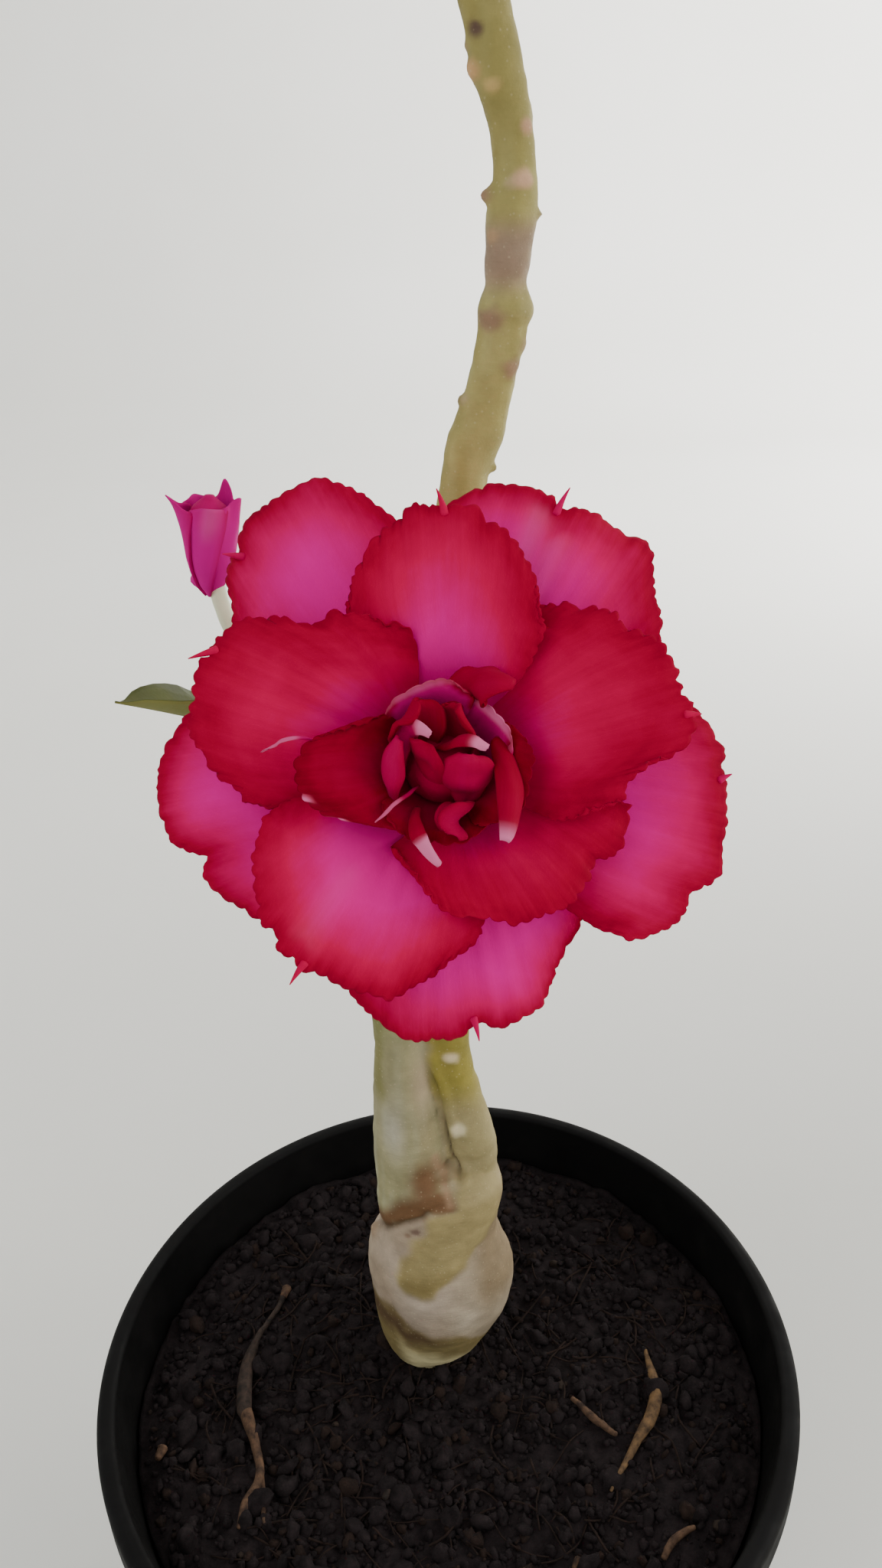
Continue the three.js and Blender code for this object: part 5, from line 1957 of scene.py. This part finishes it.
@dataclass
class LeafMass:
    """One mass: a twig with side twigs, leaves that climb them in a spiral, and finer shoots.

    A leaf that would leave the mass's room is skipped.
    """

    name: str
    node: str
    start: Array
    axis: Array
    size: MassSize
    room: Room
    draws: SeededDraws
    # The azimuth, the angle from the twig and the length of the long leaf, where there is one
    long_leaf: Triple | None = None
    long_rule: LeafRule = LeafRule(slimness=0.31, arch=0.07, fold=0.58)
    # How the spiral changes from a twig's foot to its tip: where leaves sit, their angle and length
    spiral: Pair = (0.25, 0.97)
    opening: Pair = (84.0, 20.0)
    lengths: Pair = (1.05, 0.62)
    radii: Pair = (2.3, 1.7)
    taper: float = 0.45
    side_angle: float = 48.0
    side_leaf_share: float = 0.86

    def __post_init__(self) -> None:
        """Starts with nothing grown."""
        self.leaves: list[Shape] = []
        self.twigs: list[Shape] = []
        self.fine = np.random.default_rng(len(self.name) * 101 + ord(self.name[-1]))

    def add_leaf(
        self, root: Array, axis: Array, azimuth: float, from_axis: float, length: float,
        tone: LeafTone | None = None, rule: LeafRule = LeafRule(),
    ) -> None:
        """Grows a leaf if it fits the mass's room.

        Args:
            root: Where it leaves the twig.
            axis: The twig's direction.
            azimuth: Its turn round the twig in degrees.
            from_axis: Its angle from the twig in degrees.
            length: Its length in millimetres.
            tone: Its finish, one of the two mature ones by chance unless given.
            rule: Its outline and bend.
        """
        seat = LeafSeat(root, *tilted(axis, azimuth, from_axis), length)
        outline = rule.outline(seat)
        if self.room.holds(outline[np.linalg.norm(outline - root, axis=1) >= length * 0.2]):
            tone = tone or (LeafTone.DEEP if self.fine.random() < 0.35 else LeafTone.MATURE)
            self.leaves.append(rule.shape(seat, tone, len(self.leaves)))

    def add_twig(self, twig: Twig) -> None:
        """Grows a twig with its spiral of leaves, and its tip with young leaves that close over it.

        Args:
            twig: The twig.
        """
        knots = np.linspace(0, 1, 7)[:, None]
        swell = twig.radius * (1 - (1 - self.taper) * knots) * (1 + 0.07 * np.cos(7 * np.pi * knots))
        self.twigs.append(limb(np.hstack([twig.at(knots), swell]), 16, 26))
        turn = self.draws.draw() * 360
        for k in range(twig.leaves):
            u = between(self.spiral, k, twig.leaves - 1)
            azimuth = turn + k * GOLDEN_ANGLE + (self.draws.draw() - 0.5) * 20
            from_axis = between(self.opening, u) + (self.draws.draw() - 0.5) * 10
            self.add_leaf(twig.at(u), twig.axis, azimuth, from_axis, twig.leaf * between(self.lengths, u))
        tip = Twig(twig.at(1), twig.axis, 0.16 * twig.leaf, twig.radius * self.taper, 7, twig.leaf)
        ends = [[*(tip.foot - tip.axis), tip.radius], [*tip.at(1), tip.radius * 0.4]]
        self.twigs.append(limb(ends, 10, 8))
        for k in range(tip.leaves):
            u = 0.2 + 0.8 * k / (tip.leaves - 1)
            azimuth = 40 + k * GOLDEN_ANGLE + self.fine.uniform(-12, 12)
            length = tip.leaf * (0.5 - 0.26 * u) * self.fine.uniform(0.9, 1.1)
            self.add_leaf(tip.at(u), tip.axis, azimuth, 46 - 34 * u, length, LeafTone.YOUNG)

    def add_side_shoot(self, foot: Array, azimuth: float) -> None:
        """Grows a short fine shoot with a few small leaves between the larger ones.

        Args:
            foot: Where it leaves the mass's twig.
            azimuth: Its turn round the twig in degrees.
        """
        shoot = Twig(foot, tilted(self.axis, azimuth, 58)[0], 0.2 * self.size.leaf, 0.9, 5, self.size.leaf)
        self.twigs.append(limb([[*foot, shoot.radius], [*shoot.at(1), shoot.radius / 2]], 10, 8))
        for k in range(shoot.leaves):
            u = 0.35 + 0.15 * k
            small = shoot.leaf * self.fine.uniform(0.34, 0.5)
            tone = LeafTone.YOUNG if k > 2 else LeafTone.MATURE
            self.add_leaf(shoot.at(u), shoot.axis, k * GOLDEN_ANGLE + azimuth, 68 - 40 * u, small, tone)

    def build(self, materials: Sequence[Material], bark: Material) -> None:
        """Grows the mass in the order that its solid draws in, and makes its leaves and twigs.

        Args:
            materials: The leaves' finishes.
            bark: The twigs' finish.
        """
        size = self.size
        main = Twig(self.start, self.axis, size.twig, self.radii[0], size.leaves, size.leaf)
        self.add_twig(main)
        for i in range(size.side_twigs):
            azimuth = i * 360 / size.side_twigs + self.draws.draw() * 40
            direction, _ = tilted(self.axis, azimuth, self.side_angle)
            self.add_twig(Twig(main.at(0.3 + 0.15 * i), direction, size.side_twig, self.radii[1],
                               size.side_leaves, size.leaf * self.side_leaf_share))
        if self.long_leaf:
            self.add_leaf(main.at(0.57), self.axis, *self.long_leaf, LeafTone.DEEP, self.long_rule)
        if size.side_twigs:
            for k in range(4):
                self.add_side_shoot(main.at(0.35 + 0.16 * k), 70 + 150 * k)
        place(Shape.joined(self.leaves).piece(f"{self.name}_leaves", materials), "leaf", self.node)
        place(Shape.joined(self.twigs).piece(f"{self.name}_twigs", [bark]), "green_stalk", self.node)
        LOG.info("%s has %d leaves", self.name, len(self.leaves))


@dataclass
class Foliage:
    """The crown's leaf masses and the leaves behind the bloom."""

    branches: Sequence[CrownBranch]
    bud_stalk: Array
    bloom: Bloom
    crown: MassSize = MassSize(24, 3, 17, 13, 4, 56, 74)
    shoot: MassSize = MassSize(12, 0, 0, 9, 0, 35, 54)
    long_leaf: Triple = (218.0, 58.0, 47.0)
    seed: int = 11

    def crown_room(self, branch: CrownBranch) -> Room:
        """The room of a crown mass, up to half way to the others.

        Args:
            branch: The branch that carries it.

        Returns:
            The room.
        """
        centres = [one.tip + one.axis * self.crown.twig / 2 for one in self.branches]
        centre = centres.pop(branch.index)
        walls = [((centre + other) / 2, unit(other - centre)) for other in centres]
        limbs = [over_soil(TALL_STEM), *(one.stations for one in self.branches)]
        return Room(centre, self.crown.reach, 0.6, limbs, walls)

    def shoot_room(self, tip: Array) -> Room:
        """The room of the flowering shoot's leaves, clear of the bloom's stalk.

        Args:
            tip: The left stem's tip.

        Returns:
            The room.
        """
        foot = self.bloom.in_plant(np.array([0, 0, self.bloom.tube_end]))
        route = np.array([[*tip, 4], [*foot, 5], [*self.bloom.centre, self.bloom.tube_top_radius]])
        limbs = [over_soil(TALL_STEM), over_soil(LEFT_STEM), self.bud_stalk, route]
        return Room(tip, self.shoot.reach, 1, limbs)

    def build(self) -> None:
        """Makes every mass."""
        materials = [
            LivingGreen(f"leaf_{part}", roughness, pale=pale, dark=dark).build()
            for part, pale, dark, roughness in (
                ("mature", "#5A661A", "#4A5514", 0.46), ("deep", "#434A0A", "#373D07", 0.46),
                ("young", "#7C8828", "#6A761F", 0.46), ("underside", "#75783F", "#696C35", 0.62),
                ("midrib", "#A9B277", "#9AA468", 0.5),
            )
        ]
        bark = LivingGreen("twig_green_bark", 0.6, pale="#8A9350", dark="#767C40", relief=0.5).build()
        draws = SeededDraws(self.seed)
        for number, branch in enumerate(self.branches, 1):
            LeafMass(f"crown_{number}", f"leaf_mass_{number}", branch.tip - branch.axis, branch.axis,
                     self.crown, self.crown_room(branch), draws).build(materials, bark)
        tip = over_soil(LEFT_STEM)[-1, :3]
        axis = unit(np.array([-0.06, 0.12, 1.0]))
        LeafMass("side_shoot", "shoot_leaves", tip - axis, axis, self.shoot, self.shoot_room(tip), draws,
                 self.long_leaf).build(materials, bark)


@dataclass
class FlowerStalks:
    """The bloom's calyx and stalk, the bud's stalk, and the bud."""

    bloom: Bloom
    stalk_radius: float = 1.8
    calyx_length: float = 7.0
    sepal_count: int = 5
    sepal_length: float = 9.0
    sepal_width: float = 5.5
    # How far the calyx stands outside the tube's radius
    calyx_clear: float = 1.7
    bud_tip: Triple = (-29.4, 8.0, 308.9)
    bud_base: Triple = (-31.2, 8.0, 292.6)
    # For each of the bud's petals, how far its tip turns out in millimetres, and its extra height
    bud_tips: Line = ((-0.8, 0.17), (0.5, 0.03), (2.8, 0.12), (0.5, 0.0), (0.3, 0.04))
    bud_route: Route = (
        (-7.4, 6, 142, 1.5), (-14, 9.5, 152, 1.3), (-22, 10, 163, 1.2), (-28.2, 8.6, 174, 1.3),
        (-29.8, 8, 179.5, 1.3), (-30.3, 8, 183.2, 1.3),
    )

    def bud_stalk(self) -> Array:
        """The stations of the bud's stalk."""
        return over_soil(self.bud_route)

    def calyx(self) -> Shape:
        """A cup with five pointed sepals round the tube's foot.

        Returns:
            The cup and its sepals in the bloom's frame.
        """
        base, tube_radius = self.bloom.tube_end, self.bloom.tube_radius
        foot, top, outside = base - 4, base + self.calyx_length, self.calyx_clear
        parts = [turned(np.array([
            [0.4, foot], [self.stalk_radius, foot], [self.stalk_radius + 0.2, foot + 1],
            [tube_radius(base) + outside - 0.3, base], [tube_radius(top - 3) + outside, top - 3],
            [tube_radius(top) + 1.0, top], [tube_radius(top) + 0.3, top - 0.4], [0.4, top - 1.5],
        ]), 60)]
        u, v = sheet(16, 9)
        h = top - 3 + u * (self.sepal_length + 1)
        wide = self.sepal_width / 2 * (1 - 0.97 * u ** 1.6)
        radius = tube_radius(h) + outside - 0.5 + 1.3 * u * u - 0.25 * v * v
        for i in range(self.sepal_count):
            centre = math.radians(i * 360 / self.sepal_count + 36)
            parts.append(shell(polar(radius, centre + v * wide / radius, h), np.full(u.shape, 0.3), {}))
        return Shape.joined(parts)

    def stalk(self) -> Shape:
        """The bloom's stalk.

        Returns:
            A limb from the left stem's tip to the calyx.
        """
        shoot = over_soil(LEFT_STEM)[-1, :3] + np.array([1, -1, -2])
        foot = self.bloom.tube_end
        ends = self.bloom.in_plant(np.array([[0, 0, foot - 7], [0, 0, foot - 3]]))
        midway = shoot + (ends[0] - shoot) * 0.6
        radii = np.array([1.2, 1.0, 1.0, 1.0]) * self.stalk_radius
        return limb(np.column_stack([[shoot, midway, *ends], radii]), 24, 40)

    def bud_axis(self, share: Array) -> Array:
        """Places on the bud's axis, at shares of the way from its base to its tip."""
        return self.bud_base + (np.array(self.bud_tip) - self.bud_base) * share

    def bud_petal(self, index: int) -> Shape:
        """One of the bud's petals: it wraps round its neighbour, and its tip turns out.

        Args:
            index: Which petal.

        Returns:
            The petal as a closed shell.
        """
        t, s = sheet(34, 21)
        radius = np.interp(t, (0, 0.12, 0.3, 0.45, 0.8, 1.0), (0.4, 1.7, 2.8, 3.4, 4.2, 4.3))
        tip = hump(s, 0.15, 0.28)
        spread, spire = self.bud_tips[index]
        radius = radius + 0.35 * s + tip * t ** 6 * spread + 0.3 * np.cos(7 * s + index) * t ** 3
        radius = radius + (index == 2) * 1.3 * hump(t, 0.15, 0.07) * hump(s, 0, 0.5)
        climb = t * (0.84 + spire * tip * fade(0.5, 1, t)) - 0.05 * s ** 2 * t - 0.07 * (1 - t)
        out = polar(radius, np.radians(72 * index + 14 + 50 * s + 38 * t), 0)
        values = {
            "lay": np.stack([s * 5, t * 16, 0 * t + index], axis=-1),
            "rim": 0.75 - 0.35 * np.abs(s) ** 3 - 0.2 * t ** 4,
            # Painted highlight: a pale streak on the upper part of bud petal 3
            "pallor": 0.2 * hump(s, 0.3, 0.35) * fade(0.55, 0.85, t) * (index == 3),
        }
        return shell(self.bud_axis(climb[..., None]) + out, 0.26 * (1 - 0.6 * t ** 8), values)

    def build(self) -> None:
        """Makes the stalks, the calyx and the bud in place of their solids."""
        green, pale = (
            LivingGreen(name, 0.55, pale=pale, dark=dark, relief=0.4).build() for name, pale, dark in (
                ("stalk_green", "#A3AE72", "#8F9B60"), ("bud_stalk_green", "#E2E4C6", "#D2D5B4"),
            )
        )
        calyx = self.calyx()
        calyx.points = self.bloom.in_plant(calyx.points)
        stem = Shape.joined([calyx, self.stalk()])
        place(stem.piece("bloom_stalk_and_calyx", [green]), "green_stalk", "bloom_stalk")
        place(limb(self.bud_stalk(), 20, 60).piece("bud_stalk_green", [pale]), "green_stalk", "bud_stalk")
        petals = [self.bud_petal(i) for i in range(len(self.bud_tips))]
        share = np.array([[0.0, 0.6], [0.15, 1.5], [0.5, 2.9], [0.75, 3.0], [0.88, 1.0]])
        core = limb(np.column_stack([self.bud_axis(share[:, :1]), share[:, 1]]), 20, 24)
        petals.append(self.bloom.plain(core, 0.3))
        finish = PetalVelvet("bud_velvet", heart="#BC0080", blush="#A80058", margin="#8C003A").build()
        place(Shape.joined(petals).piece("flower_bud", [finish]), "outer_petal", "bud")


def main() -> None:
    """Builds the plant piece by piece; each piece's count of triangles is logged as it is placed."""
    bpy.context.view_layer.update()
    Studio().build()
    pot = Pot()
    pot.build()
    PottingMix(pot).build()
    branches = [CrownBranch(index) for index in range(CrownBranch.count)]
    GraftedTrunk(branches).build()
    bloom = Bloom()
    bloom.build()
    stalks = FlowerStalks(bloom)
    stalks.build()
    Foliage(branches, stalks.bud_stalk(), bloom).build()
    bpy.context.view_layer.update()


if __name__ == "__main__":
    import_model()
    main()
